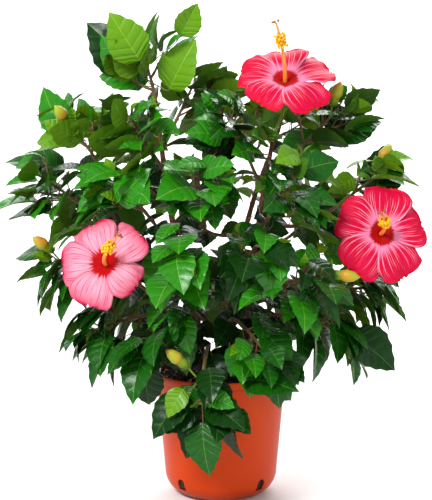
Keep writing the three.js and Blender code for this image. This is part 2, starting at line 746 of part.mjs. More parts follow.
// A twig is made of straight lengths, and what grows from it starts on their middle line
function pointOnTwig(curve, share) {
  const length = Math.min(Math.floor(share * twigSteps), twigSteps - 1);
  const from = curve.getPoint(length / twigSteps);
  const to = curve.getPoint((length + 1) / twigSteps);
  return from.lerp(to, share * twigSteps - length);
}

function twigFits(row, curve, obstacles) {
  return [0.4, 0.7, 1].every((share) => {
    const point = curve.getPoint(share);
    return insideOwnSpace(point, row) && clearOfPot(point) && !insideBloomGuard(point)
      && !obstacles.some((sample) => pointTouches(point, twigRadius, sample));
  });
}

// The twigs of a shoot: its leader, and the side twigs that find room
function growTwigs(row, obstacles, random) {
  const { leader } = row;
  const twigs = [leader];
  let turn = random(0, 360);
  for (const side of sideTwigs) {
    turn += 180 + random(-sideTurn, sideTurn);
    const share = leader.bare + (1 - leader.bare) * side.along;
    const root = pointOnTwig(leader.curve, share);
    const tangent = leader.curve.getTangent(share);
    const spread = side.spread * degrees;
    const heading = tangent.multiplyScalar(Math.cos(spread));
    heading.addScaledVector(spokeAround(leader.curve.getTangent(share), turn), Math.sin(spread));
    const end = step(root, step(heading, up, sideLift).normalize(), side.length);
    const guide = step(root, heading, side.length * twigGuideShare);
    const curve = new THREE.QuadraticBezierCurve3(root, guide, end);
    if (twigFits(row, curve, obstacles)) {
      const outward = outwardFrom(end, leader.outward);
      const radius = twigRadius * sideRadiusShare;
      twigs.push({ curve, outward, radius, bare: sideBare, leaves: row.leaves * sideShare });
    }
  }
  return twigs;
}

function growMass(row, allSamples) {
  const random = seededDraw(row.seed);
  const { leader } = row;
  const obstacles = allSamples.filter((sample) => (
    sample.owner !== row && sample.point.distanceTo(leader.start) > rootClearance + sample.radius));
  const twigs = growTwigs(row, obstacles, random);
  for (const twig of twigs) {
    const samples = limbSamples(twig.curve, () => twig.radius - 1);
    obstacles.push(...samples.map((sample) => ({ ...sample, own: true })));
  }
  const grown = [];
  for (const marked of markedLeaves.filter((leaf) => leaf.shoot === row.name)) {
    const leaf = placeMarkedLeaf(marked, leader);
    if (leafFits(row, leaf, obstacles, grown)) {
      grown.push(leaf);
    }
  }
  const spare = (3 - twigs.length) * row.leaves * sideShare;
  twigs.forEach((twig, i) => {
    const count = Math.round(twig.leaves + spare / twigs.length);
    growLeaves(row, twig, count, i * 60 + random(0, 360), obstacles, grown, random);
  });
  return { twigs, grown };
}

function budCurve(bud, leader) {
  const node = pointOnTwig(leader.curve, bud.share);
  const end = step(node, pointing(...bud.points), bud.length);
  return new THREE.QuadraticBezierCurve3(node, step(node.clone().lerp(end, 0.5), up, 4), end);
}

function budSolid(curve) {
  const radiusAt = (share) => {
    const swell = Math.max(0, (share - budStalk) / (1 - budStalk));
    return petioleRadius + (budRadius - petioleRadius) * Math.sin(Math.PI * swell ** 0.8);
  };
  return limbSolid(curve, radiusAt, 4, 6);
}

function massSolid(row, { twigs, grown }) {
  let solid;
  for (const twig of twigs) {
    const radiusAt = (share) => twig.radius + (twigTipRadius - twig.radius) * share;
    const piece = limbSolid(twig.curve, radiusAt, 3, twigSteps);
    solid = solid ? solid.add(piece) : piece;
  }
  if (!row.leader.fromTip) {
    solid = solid.subtract(socketOf(row.leader.parent));
  }
  for (const leaf of grown) {
    solid = solid.add(leafSolid(leaf));
  }
  for (const bud of buds.filter((each) => each.shoot === row.name)) {
    solid = solid.add(budSolid(budCurve(bud, row.leader)));
  }
  const bodies = solid.decompose().sort((a, b) => b.volume() - a.volume());
  return meshOf(row.name, bodies[0], colours.leaf, 0.45);
}

const plant = new THREE.Group();
plant.add(makePot(), makeSoil());
for (const row of stems) {
  plant.add(makeStem(row));
}
for (const row of shoots) {
  row.middle = vector(row.middle);
  row.direction = row.middle.clone().sub(crownHeart).normalize();
  if (hasBough(row)) {
    plant.add(makeBough(row));
  }
  row.leader = makeLeader(row);
}
const limbPoints = Object.values(limbs).flatMap((limb) => limb.samples);
for (const row of shoots) {
  const samples = limbSamples(row.leader.curve, () => twigRadius);
  limbPoints.push(...samples.map((sample) => ({ ...sample, owner: row })));
}
for (const bud of buds) {
  const row = shoots.find((each) => each.name === bud.shoot);
  const root = row.leader.curve.getPoint(bud.share);
  const samples = limbSamples(budCurve(bud, row.leader), () => budRadius);
  limbPoints.push(...samples.filter((sample) => sample.point.distanceTo(root) > budRootClearance));
}
for (const row of blooms) {
  plant.add(makeBloom(row));
  limbPoints.push(...limbSamples(stalkCurve(row), () => stalkRadius));
}
for (const row of shoots) {
  plant.add(massSolid(row, growMass(row, limbPoints)));
}

export default plant;
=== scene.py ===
import math

import bmesh
import bpy
import numpy as np
from mathutils import Matrix, Vector


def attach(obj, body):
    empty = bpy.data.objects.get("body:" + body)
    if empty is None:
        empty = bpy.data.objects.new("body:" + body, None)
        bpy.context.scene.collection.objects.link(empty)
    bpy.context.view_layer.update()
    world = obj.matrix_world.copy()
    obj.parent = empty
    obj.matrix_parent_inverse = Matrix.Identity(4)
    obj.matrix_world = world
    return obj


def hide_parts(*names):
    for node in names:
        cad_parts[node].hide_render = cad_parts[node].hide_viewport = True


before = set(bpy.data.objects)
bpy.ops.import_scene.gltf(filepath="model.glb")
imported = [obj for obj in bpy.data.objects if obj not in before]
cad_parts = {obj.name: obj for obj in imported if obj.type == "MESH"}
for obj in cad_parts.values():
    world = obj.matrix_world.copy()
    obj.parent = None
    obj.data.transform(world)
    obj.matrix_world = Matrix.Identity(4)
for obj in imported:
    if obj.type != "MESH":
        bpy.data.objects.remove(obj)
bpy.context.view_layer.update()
mm = 0.001  # the rule works in millimetres, the meshes are in metres


# The shrub's rule, as in the part's source: +Z up, the front at -Y, lengths in millimetres

potSize = {
    "height": 203.0, "topRadius": 106.5, "draft": 5.0, "wall": 2.4, "cornerRadius": 36.0,
    "rimLip": 2.6, "rimDepth": 11.0, "soilDepth": 13.0,
    "slotWidth": 15.0, "slotLow": 17.0, "slotHigh": 36.0, "slotCount": 4,
}
soilTop = potSize["height"] - potSize["soilDepth"]

# foot, two guides, tip, radius
stemRows = {
    "stem_middle": ((-14, -8), (-66, -12, 330), (-88, 4, 500), (-104, -10, 640), 7.4),
    "stem_left": ((-44, -14), (-80, -34, 300), (-164, -46, 430), (-196, -36, 540), 6.6),
    "stem_right": ((34, -6), (48, -10, 330), (60, -14, 480), (84, -28, 584), 7.0),
    "stem_back": ((4, 38), (14, 58, 320), (40, 84, 450), (82, 92, 548), 6.4),
}
stemForm = {"sunk": 14.0, "tipRadius": 3.4, "flareReach": 11.0, "flareShare": 0.7}

# name, middle of its leaves, stem, share of the stem's length, leaves, seed
shootRows = [
    ("top_middle", (-116, -12, 690), "stem_middle", 1, 7, 3),
    ("top_back", (-44, 46, 634), "stem_middle", 0.82, 10, 5),
    ("front_high_left", (-134, -84, 584), "stem_middle", 0.74, 10, 7),
    ("upper_mid", (14, -84, 586), "stem_right", 0.74, 10, 11),
    ("left_high", (-234, -34, 602), "stem_left", 1, 9, 13),
    ("right_high", (180, -16, 598), "stem_right", 0.78, 8, 17),
    ("left_far", (-274, -20, 492), "stem_left", 0.68, 8, 19),
    ("front_left", (-152, -126, 500), "stem_left", 0.6, 10, 23),
    ("front_mid", (-34, -142, 502), "stem_middle", 0.56, 11, 29),
    ("right_front", (104, -130, 496), "stem_right", 0.52, 10, 31),
    ("right_far", (238, -20, 494), "stem_right", 0.62, 9, 37),
    ("left_mid", (-250, -46, 366), "stem_left", 0.38, 10, 41),
    ("front_centre", (-62, -160, 408), "stem_middle", 0.36, 10, 43),
    ("front_right_centre", (48, -164, 402), "stem_right", 0.34, 9, 47),
    ("right_mid", (142, -136, 356), "stem_right", 0.24, 10, 53),
    ("right_far_low", (236, 0, 318), "stem_right", 0.3, 10, 59),
    ("left_low", (-188, -40, 260), "stem_left", 0.16, 11, 61),
    ("front_low_left", (-100, -124, 258), "stem_middle", 0.17, 9, 67),
    ("front_low", (-30, -164, 182), "stem_middle", 0.09, 7, 71),
    ("front_low_right", (60, -142, 248), "stem_right", 0.1, 8, 73),
    ("right_low", (178, -62, 262), "stem_right", 0.15, 9, 79),
    ("back_high", (100, 108, 590), "stem_back", 1, 9, 83),
    ("back_high_left", (-172, 108, 568), "stem_middle", 0.64, 9, 89),
    ("back_left", (-230, 124, 430), "stem_left", 0.46, 9, 97),
    ("back_mid", (-48, 180, 478), "stem_back", 0.6, 9, 101),
    ("back_right", (184, 140, 440), "stem_back", 0.56, 9, 103),
    ("back_low_left", (-150, 138, 290), "stem_back", 0.12, 9, 107),
    ("back_low_right", (156, 134, 282), "stem_back", 0.18, 9, 109),
    ("back_low", (4, 196, 300), "stem_back", 0.28, 9, 113),
]
noBough = ("top_back", "front_high_left", "upper_mid", "right_high")
shootForm = {
    "heart": (-10, 0, 300), "length": 104.0, "past": 0.12, "lift": 20.0, "tipShare": 0.62, "apart": 0.3,
}
boughForm = {"tipRadius": 2.7, "rootShare": 0.72, "guideShare": 0.45, "lowestArrival": -0.1}
twigForm = {
    "radius": 3.3, "guideShare": 0.42, "leafyShare": 0.9, "leastBare": 0.1, "sideLift": 0.25,
    "leaderShare": 0.46, "sideShare": 0.27, "sideBare": 0.3, "sideTurn": 30.0, "sideRadiusShare": 0.9,
    "sides": [(0.22, 62.0, 58.0), (0.55, 52.0, 48.0)],  # along, spread, length
}
low = {"height": 230.0, "pitch": -60.0, "blade": 104.0}
high = {"height": 700.0, "pitch": 38.0, "blade": 82.0}
leafForm = {
    "tipLift": 56.0, "widthShare": 0.76, "sharpestBend": -0.5, "tries": 20, "tryTurn": 12.0,
    "tryShrink": 0.016, "sizeAtFoot": 1.08, "sizeLoss": 0.42, "sizeRange": (0.84, 1.1),
    "lastShare": 0.96, "goldenTurn": 137.5, "petioleRadius": 1.1, "gap": 2.0, "near": 260.0,
    "leastFlat": 0.15, "levelShare": 0.45,
    "draws": {"stalk": (0.22, 0.4), "fall": (-18, 18), "roll": (-1, 1), "tip": (-1, 1),
              "breadth": (0.88, 1.08)},
}
lean = {"spoke": 0.85, "ahead": 0.35, "aheadByShare": 0.3, "outward": 0.3}
light = {"up": 0.55, "outward": 0.8, "ahead": 0.1, "sway": 0.34}
clearance = {"limb": 3.5, "own": 1.0, "space": 1.0, "pot": 3.0, "root": 9.0, "budRoot": 14.0, "course": 2.0}
bladeOval = {"middle": 0.48, "half": 0.52}
sampling = {"step": 5, "twig": [0.4, 0.7, 1], "course": [0.4, 0.6, 0.8, 1]}

# shoot, share along the leader, petiole and blade (heading, rise, length), the way it faces, shade: its green,
# partly its own and partly painted light and shade for where it stands
markedLeaves = [
    ("top_middle", 0.9, (351, 40, 72), (4, 64, 59), (292, 10), "lime"),
    ("top_middle", 0.5, (340, -18, 32), (340, 60, 88), (254, 12), "lime"),
    ("top_middle", 0.6, (250, 33, 49), (205, 55, 88), (262, 12), "lime"),
    ("top_middle", 0.5, (141, 29, 39), (183, 48, 110), (250, 20), "deep"),
    ("left_high", 0.9, (144, 18, 24), (172, 58, 78), (244, 20), "bright"),
    ("left_far", 0.8, (76, 24, 50), (180, 14, 98), (286, 48), "mid"),
    ("left_far", 0.9, (280, -74, 48), (152, -2, 84), (244, 68), "mid"),
    ("right_high", 0.6, (28, 2, 58), (8, 24, 74), (256, 28), "mid"),
    ("right_high", 0.7, (80, 10, 14), (176, -48, 90), (265, 46), "bright"),
    ("right_far", 0.5, (20, 2, 42), (48, 62, 98), (297, 24), "deep"),
    ("right_front", 0.6, (44, -30, 68), (140, 68, 72), (252, 18), "lime"),
    ("front_left", 0.9, (264, -52, 38), (328, 42, 74), (292, 36), "bright"),
    ("front_centre", 0.3, (316, -72, 44), (268, -14, 66), (250, 44), "mid"),
    ("front_right_centre", 0.8, (324, -44, 68), (212, -16, 76), (252, 66), "bright"),
    ("right_mid", 0.9, (240, -6, 34), (44, -66, 66), (287, 32), "mid"),
    ("front_low", 0.9, (284, -77, 45), (282, -78, 81), (250, 26), "mid"),
    ("front_low", 0.9, (353, -35, 60), (71, -76, 80), (213, 32), "deep"),
    ("front_low_left", 0.9, (133, -62, 49), (99, -76, 77), (266, 20), "deep"),
    ("front_low_right", 0.7, (243, -56, 67), (346, -2, 85), (268, 42), "mid"),
    ("right_low", 0.7, (336, -12, 52), (356, -38, 92), (246, 42), "deep"),
    ("front_low", 0.9, (217, 18, 35), (211, -54, 49), (262, 30), "lime"),
    ("front_low", 0.9, (291, 5, 37), (336, -20, 41), (266, 34), "bright"),
    ("front_low_left", 0.9, (315, -19, 25), (336, -59, 40), (266, 26), "deep"),
]

# shoot, share along the leader, the way it points, length
budRows = [
    ("left_high", 0.9, (230, 48), 62.0),
    ("left_mid", 0.92, (218, 40), 66.0),
    ("front_low", 0.76, (190, 44), 76.0),
    ("right_mid", 0.86, (345, 2), 70.0),
    ("right_high", 0.88, (300, 62), 64.0),
    ("right_far", 0.9, (20, 58), 66.0),
]
budForm = {"radius": 6.5, "bow": 4.0}

bloomRows = {
    "bloom_top": {"limb": "stem_right", "at": 1, "eye": (99, -60, 674), "faces": (268, 50), "spin": 20,
                  "radius": 79.0, "tip": (-15, -38, 80)},
    "bloom_right": {"limb": "bough_right_mid", "at": 0.8, "eye": (246, -112, 440), "faces": (282, 20),
                    "spin": 8, "radius": 76.0, "tip": (-3, -32, 30)},
    "bloom_left": {"limb": "stem_left", "at": 0.46, "eye": (-174, -164, 400), "faces": (260, 22),
                   "spin": 40, "radius": 68.0, "tip": (20, -35, 43)},
}
bloomForm = {"calyxBack": 48.0, "guardBack": 34.0, "guardFront": 62.0, "guardEdge": 7.0, "stalkRadius": 2.5,
             "stalkGuide": 0.38}

# What the scene adds to the source's shoots: finer twigs, young leaves at the tips, inner leaves, whose deep
# green is painted shade in the crown's heart
fuller = {
    "shares": (0.4, 0.66, 0.9), "spread": 50.0, "length": (28.0, 46.0), "radius": 1.7, "leaves": 3,
    "first": {"size": 1.0, "gap": leafForm["gap"]}, "more": {"size": 0.82, "gap": 0.9},
    "fine": {"size": 0.68, "gap": 0.7}, "inner": {"size": 0.78, "gap": 0.8, "shade": "deep"},
    "innerSpacing": 26.0, "innerAbove": 24.0,
}
young = {"count": (2, 4), "length": (16.0, 34.0), "spread": 42.0, "breadth": (0.7, 0.95), "petiole": 0.25,
         "lift": 0.3, "gap": 0.8, "fold": 0.35, "shade": "lime"}

upward = np.array([0.0, 0.0, 1.0])


def point(values):
    return np.array(values, float)


def unit(values):
    return values / math.sqrt(values @ values)


def cross(a, b):
    return np.array([a[1] * b[2] - a[2] * b[1], a[2] * b[0] - a[0] * b[2], a[0] * b[1] - a[1] * b[0]])


def swung(first, second, angle):  # turned from the first way to the second
    return first * math.cos(angle) + second * math.sin(angle)


def pointing(heading, rise):
    heading, rise = math.radians(heading), math.radians(rise)
    return point((math.cos(rise) * math.cos(heading), math.cos(rise) * math.sin(heading), math.sin(rise)))


def outwardFrom(place, fallback):
    flat = point((place[0], place[1], 0))
    return unit(flat) if flat @ flat > 1 else fallback.copy()


def seededDraw(seed):
    state = seed

    def draw(least, most):
        nonlocal state
        state = (state * 1664525 + 1013904223) & 0xFFFFFFFF
        return least + (most - least) * state / 4294967296

    for _ in range(3):
        draw(0, 1)
    return draw


def along(curve, share):  # a Bezier curve's point, or its points at several shares
    share = np.asarray(share, float)[..., None]
    points = curve
    while len(points) > 1:
        points = [a + (b - a) * share for a, b in zip(points, points[1:])]
    return points[0]


def tangentAt(curve, share):
    return unit(along(curve, min(1, share + 0.0001)) - along(curve, max(0, share - 0.0001)))


def lengthOf(points):
    return np.linalg.norm(np.diff(points, axis=0), axis=1).sum()


def curveLength(curve):
    return lengthOf(along(curve, np.linspace(0, 1, 201)))


def limbSamples(curve, radiusAt):
    count = math.ceil(curveLength(curve) / sampling["step"])
    shares = np.arange(count + 1) / count
    return along(curve, shares), np.array([radiusAt(share) for share in shares])


def laidOut(origin, *runs):  # places from how far they lie along each way
    return sum((np.outer(far, way) for far, way in runs), origin)


def stemLimb(foot, lower, upper, tip, radius):
    curve = [point((*foot, soilTop - stemForm["sunk"])), point(lower), point(upper), point(tip)]

    def radiusAt(share):
        aboveSoil = max(0, along(curve, share)[2] - soilTop)
        taper = radius + (stemForm["tipRadius"] - radius) * share
        return taper * (1 + stemForm["flareShare"] * math.exp(-aboveSoil / stemForm["flareReach"]))

    return {"curve": curve, "radiusAt": radiusAt}


def alongShoot(row, share):
    return row["middle"] + row["direction"] * shootForm["length"] * share + upward * shootForm["lift"]


def boughLimb(row, parent):
    start = along(parent["curve"], row["at"])
    end = alongShoot(row, shootForm["past"] - 1)
    arrival = row["direction"].copy()
    arrival[2] = max(arrival[2], boughForm["lowestArrival"])
    guide = end - unit(arrival) * boughForm["guideShare"] * np.linalg.norm(start - end)
    rootRadius = parent["radiusAt"](row["at"]) * boughForm["rootShare"]
    return {"curve": [start, guide, end],
            "radiusAt": lambda share: rootRadius + (boughForm["tipRadius"] - rootRadius) * share}


def leaderTwig(row, parent):
    fromTip = row["name"] not in noBough
    start = along(parent["curve"], 1 if fromTip else row["at"])
    if row["at"] == 1:
        end = start + row["direction"] * shootForm["length"] * shootForm["tipShare"]
    else:
        end = alongShoot(row, shootForm["past"])
    lead = straight = unit(end - start)
    if fromTip:
        lead = tangentAt(parent["curve"], 1)
        start = start + lead * shootForm["apart"]
    length = np.linalg.norm(end - start)
    return {
        "curve": [start, start + lead * length * twigForm["guideShare"], end], "start": start,
        "radius": twigForm["radius"], "outward": outwardFrom(end, straight),
        "bare": max(twigForm["leastBare"], 1 - shootForm["length"] * twigForm["leafyShare"] / length),
        "leaves": row["leaves"] * twigForm["leaderShare"],
    }


def bloomFrame(row):
    normal = pointing(*row["faces"])
    across = unit(cross(upward, normal))
    return point(row["eye"]), normal, across, cross(normal, across)


def stalkCurve(row):
    eye, normal, _, _ = bloomFrame(row)
    parent = limbs[row["limb"]]
    start = along(parent["curve"], row["at"])
    lead = tangentAt(parent["curve"], 1) if row["at"] == 1 else upward
    end = eye - normal * bloomForm["calyxBack"]
    reach = np.linalg.norm(end - start) * bloomForm["stalkGuide"]
    return [start, start + lead * reach, end - normal * reach, end]


def twigPoint(curve, share):  # the source's twigs are two straight lengths, and leaves start on them
    length = min(int(share * 2), 1)
    start, end = along(curve, length / 2), along(curve, (length + 1) / 2)
    return start + (end - start) * (share * 2 - length)


def spokeAround(tangent, turn):
    reference = point((1, 0, 0)) if abs(tangent[2]) > 0.8 else upward
    level = unit(cross(tangent, reference))
    return swung(level, cross(tangent, level), math.radians(turn))


def bladeArch(length, share):
    return length * (0.22 * share - 0.33 * share * share)


# Points that stand for a leaf: along its petiole, and the outline and midrib of its blade
petioleShares = np.array([0.35, 0.55, 0.75, 1.0])
bladeShares = [(0.13, 0.4), (0.35, 0.48), (0.56, 0.46), (0.8, 0.22)]
bladeGrid = np.array([(a, side * w) for a, w in bladeShares for side in (1, -1, 0)] + [(1, 0)])


def makeLeaf(node, stalk, petiole, axis, facing, length, breadth=1.0, **more):
    normal = unit(facing - axis * (facing @ axis))
    side = cross(axis, normal)
    width = length * leafForm["widthShare"] * breadth
    foot = node + stalk * petiole
    ahead, aside = bladeGrid.T
    blade = laidOut(foot, (ahead * length, axis), (aside * width, side), (bladeArch(length, ahead), normal))
    return dict(
        node=node, stalk=stalk, petiole=petiole, foot=foot, axis=axis, side=side, normal=normal, length=length,
        width=width, frame=np.array([foot, axis, side, normal]), size=np.array([length, width]),
        points=np.vstack([laidOut(node, (petioleShares * petiole, stalk)), blade]), **more)


def climbOf(place):
    return min(1, max(0, (place[2] - low["height"]) / (high["height"] - low["height"])))


def placeLeaf(node, tangent, fallback, share, turn, size, draw):
    outward = outwardFrom(node, fallback)
    ahead = lean["ahead"] + lean["aheadByShare"] * share
    stalk = unit(spokeAround(tangent, turn) * lean["spoke"] + tangent * ahead + outward * lean["outward"])
    climb = climbOf(node)
    length = (low["blade"] + (high["blade"] - low["blade"]) * climb) * size
    flat = point((stalk[0], stalk[1], 0))
    level = unit(flat) if flat @ flat > leafForm["leastFlat"] ** 2 else outward
    rise = low["pitch"] + (high["pitch"] - low["pitch"]) * climb * climb
    rise += leafForm["tipLift"] * (share - leafForm["levelShare"])
    sway = point((draw["roll"], draw["tip"], 0)) * light["sway"]
    facing = sway + upward * light["up"] + outward * light["outward"] + level * light["ahead"]
    axis = swung(level, upward, math.radians(rise + draw["fall"]))
    return makeLeaf(node, stalk, length * draw["stalk"], axis, facing, length, draw["breadth"])


def clearOfPot(points):
    radial = np.hypot(points[:, 0], points[:, 1])
    edge = potSize["topRadius"] + potSize["rimLip"] + clearance["pot"]
    return (points[:, 2] > potSize["height"] + clearance["pot"]) | (radial > edge)


def clearOfBlooms(points):
    clear = np.ones(len(points), bool)
    for row in bloomRows.values():
        eye, normal, _, _ = bloomFrame(row)
        offset = points - eye
        height = offset @ normal
        radial = np.linalg.norm(offset - np.outer(height, normal), axis=1)
        inside = (height > -bloomForm["guardBack"]) & (height < bloomForm["guardFront"])
        clear &= ~(inside & (radial < row["radius"] + bloomForm["guardEdge"]))
    return clear


def touching(frames, sizes, points, reach):
    # whether points lie within reach of a blade; every argument may be an array over leaves or points
    foot, axis, side, normal = np.moveaxis(frames, -2, 0)
    length, width = np.moveaxis(sizes, -1, 0)
    offset = points - foot
    share = (offset * axis).sum(-1) / length
    across = (offset * side).sum(-1)
    height = (offset * normal).sum(-1) - bladeArch(length, share)
    forward = (share - bladeOval["middle"]) / (bladeOval["half"] + reach / length)
    sideways = across / (width / 2 + reach)
    return (np.abs(height) < reach) & (forward ** 2 + sideways ** 2 < 1)


def leafTouches(leaf, points, reach):
    return touching(leaf["frame"], leaf["size"], points, reach)


class LeafStore:  # leaves that have found their room, as arrays that grow
    def __init__(self):
        self.leaves = []
        self.frames, self.sizes, self.points = np.zeros((0, 4, 3)), np.zeros((0, 2)), np.zeros((0, 17, 3))

    def add(self, leaf):
        self.leaves.append(leaf)
        self.frames = np.concatenate([self.frames, leaf["frame"][None]])
        self.sizes = np.concatenate([self.sizes, leaf["size"][None]])
        self.points = np.concatenate([self.points, leaf["points"][None]])

    def near(self, place, reach):
        return np.linalg.norm(self.frames[:, 0] - place, axis=1) < reach

    def reachedBy(self, points, near, gap):
        return touching(self.frames[near][:, None], self.sizes[near][:, None], points[None], gap).any()

    def crosses(self, leaf, near, gap):
        return (leafTouches(leaf, self.points[near].reshape(-1, 3), gap).any()
                or self.reachedBy(leaf["points"], near, gap))


limbs = {name: stemLimb(*row) for name, row in stemRows.items()}
shoots = {}
for shootName, middle, stemName, at, leafCount, seed in shootRows:
    shoot = {"name": shootName, "middle": point(middle), "at": at, "leaves": leafCount, "seed": seed}
    shoot["direction"] = unit(shoot["middle"] - point(shootForm["heart"]))
    shootParent = limbs[stemName]
    if at < 1 and shootName not in noBough:
        shootParent = limbs["bough_" + shootName] = boughLimb(shoot, shootParent)
    shoot["leader"] = leaderTwig(shoot, shootParent)
    shoots[shootName] = shoot


def insideOwnSpace(points, row):
    own = row["middle"]
    others = np.array([shoot["middle"] for shoot in shoots.values() if shoot is not row])
    apart = np.linalg.norm(others - own, axis=1)
    farther = ((points[:, None] - others) ** 2).sum(-1) - ((points - own) ** 2).sum(-1)[:, None]
    return (farther / (2 * apart) > clearance["space"]).all(axis=1)


def budCurve(share, aim, length, leader):
    node = twigPoint(leader["curve"], share)
    end = node + pointing(*aim) * length
    return [node, (node + end) / 2 + upward * budForm["bow"], end]


def allObstacles():
    points, radii, owners = [], [], []

    def put(samples, owner=None, keep=...):
        points.append(samples[0][keep])
        radii.append(samples[1][keep])
        owners.extend([owner] * len(radii[-1]))

    for limb in limbs.values():
        put(limbSamples(limb["curve"], limb["radiusAt"]))
    for name, row in shoots.items():
        put(limbSamples(row["leader"]["curve"], lambda share: twigForm["radius"]), name)
    for shootName, share, aim, length in budRows:
        leader = shoots[shootName]["leader"]
        samples = limbSamples(budCurve(share, aim, length, leader), lambda share: budForm["radius"])
        away = np.linalg.norm(samples[0] - along(leader["curve"], share), axis=1)
        put(samples, keep=away > clearance["budRoot"])
    for row in bloomRows.values():
        put(limbSamples(stalkCurve(row), lambda share: bloomForm["stalkRadius"]))
    return np.vstack(points), np.concatenate(radii), np.array(owners, object)


def sideTwig(parent, share, turn, spread, length, radius, leaves=0, nodeOn=twigPoint):
    root = nodeOn(parent["curve"], share)
    tangent = tangentAt(parent["curve"], share)
    heading = swung(tangent, spokeAround(tangent, turn), math.radians(spread))
    end = twigPoint(parent["curve"], share) + unit(heading + upward * twigForm["sideLift"]) * length
    guide = twigPoint(parent["curve"], share) + heading * length * twigForm["guideShare"]
    return {"curve": [root, guide, end], "radius": radius, "outward": outwardFrom(end, parent["outward"]),
            "bare": twigForm["sideBare"], "leaves": leaves}


class Growth:  # the leaves of a shoot or of the bare limbs as they grow, and what stands in their way
    def __init__(self, kept, random, row=None, store=None):
        points, radii, _ = everything
        self.points, self.radii, self.own = points[kept], radii[kept], np.zeros(int(kept.sum()), bool)
        self.random, self.row, self.store = random, row, store or LeafStore()

    def avoid(self, twig):
        points, radii = limbSamples(twig["curve"], lambda share: twig["radius"] - 1)
        self.points, self.radii = np.vstack([self.points, points]), np.concatenate([self.radii, radii])
        self.own = np.concatenate([self.own, np.ones(len(radii), bool)])

    def twigFits(self, curve, radius):
        tested = along(curve, sampling["twig"])
        if not (insideOwnSpace(tested, self.row) & clearOfPot(tested) & clearOfBlooms(tested)).all():
            return False
        apart = np.linalg.norm(tested[:, None] - self.points, axis=2)
        return not (apart < radius + self.radii + clearance["limb"]).any()

    def leafFits(self, leaf, gap):
        points = leaf["points"]
        if leaf["stalk"] @ leaf["axis"] < leafForm["sharpestBend"]:
            return False
        if not (clearOfPot(points) & clearOfBlooms(points)).all():
            return False
        if self.row and not insideOwnSpace(points, self.row).all():
            return False
        away = np.linalg.norm(self.points - leaf["node"], axis=1)
        reach = self.radii + np.where(self.own, clearance["own"], clearance["limb"])
        if (leafTouches(leaf, self.points, reach) & ~(self.own & (away < clearance["root"]))).any():
            return False
        middle = np.linalg.norm(self.points - points[1], axis=1)
        if (~self.own & (middle < leafForm["petioleRadius"] + self.radii + clearance["limb"])).any():
            return False
        return not self.store.crosses(leaf, self.store.near(leaf["foot"], leafForm["near"]), gap)

    def growLeaves(self, twig, count, turn, form, nodeOn=twigPoint):
        random, turnRange = self.random, leafForm["tryTurn"]
        for i in range(count):
            share = twig["bare"] + (leafForm["lastShare"] - twig["bare"]) * (i + 1) / count
            turn += leafForm["goldenTurn"]
            size = leafForm["sizeAtFoot"] - leafForm["sizeLoss"] * share * share
            size *= random(*leafForm["sizeRange"])
            node, tangent = nodeOn(twig["curve"], share), tangentAt(twig["curve"], share)
            for k in range(leafForm["tries"]):
                draw = {what: random(*span) for what, span in leafForm["draws"].items()}
                turned = turn + random(-turnRange, turnRange) * k
                tried = size * form["size"] * (1 - leafForm["tryShrink"] * k)
                leaf = placeLeaf(node, tangent, twig["outward"], share, turned, tried, draw)
                if self.leafFits(leaf, form["gap"]):
                    leaf.update(root=along(twig["curve"], share) if nodeOn is twigPoint else node,
                                shade=form.get("shade"), spray=tuple(twig["curve"][0]))
                    self.store.add(leaf)
                    break

    def growMarked(self, leader):
        for name, share, (heading, rise, petiole), (ahead, climb, length), faces, shade in markedLeaves:
            if name == self.row["name"]:
                leaf = makeLeaf(twigPoint(leader["curve"], share), pointing(heading, rise), petiole,
                                pointing(ahead, climb), pointing(*faces), length,
                                root=along(leader["curve"], share), shade=shade)
                if self.leafFits(leaf, leafForm["gap"]):
                    self.store.add(leaf)

    def growFine(self, twig):  # more leaves on a twig, and finer twigs with leaves of their own
        random, grown = self.random, []
        self.growLeaves(twig, fuller["leaves"], random(0, 360), fuller["more"])
        turn = random(0, 360)
        for share in fuller["shares"]:
            turn += leafForm["goldenTurn"]
            place = twig["bare"] + (1 - twig["bare"]) * share
            fine = sideTwig(twig, place, turn, fuller["spread"], random(*fuller["length"]), fuller["radius"],
                            nodeOn=along)
            blocked = self.store.reachedBy(along(fine["curve"], sampling["course"]), ..., clearance["course"])
            if not blocked and self.twigFits(fine["curve"], fuller["radius"]):
                grown.append(fine)
                self.avoid(fine)
                self.growLeaves(fine, fuller["leaves"], random(0, 360), fuller["fine"], along)
        return grown

    def unfoldYoung(self, twigs):  # round every tip
        random, older = self.random, len(self.store.leaves)
        for twig in twigs:
            tangent, node = tangentAt(twig["curve"], 1), along(twig["curve"], 1)
            turn = random(0, 360)
            for _ in range(round(random(*young["count"]))):
                turn += leafForm["goldenTurn"]
                spread = math.radians(young["spread"] * random(0.4, 1.1))
                axis = unit(swung(tangent, spokeAround(tangent, turn), spread) + upward * young["lift"])
                length = random(*young["length"])
                leaf = makeLeaf(node, axis, length * young["petiole"], axis, tangent, length,
                                random(*young["breadth"]), root=node, shade=young["shade"], fold=young["fold"])
                formed = np.arange(len(self.store.leaves)) < older
                leaf["pierces"] = self.store.crosses(leaf, formed, young["gap"])
                if insideOwnSpace(leaf["points"], self.row).all() and clearOfBlooms(leaf["points"]).all():
                    self.store.add(leaf)


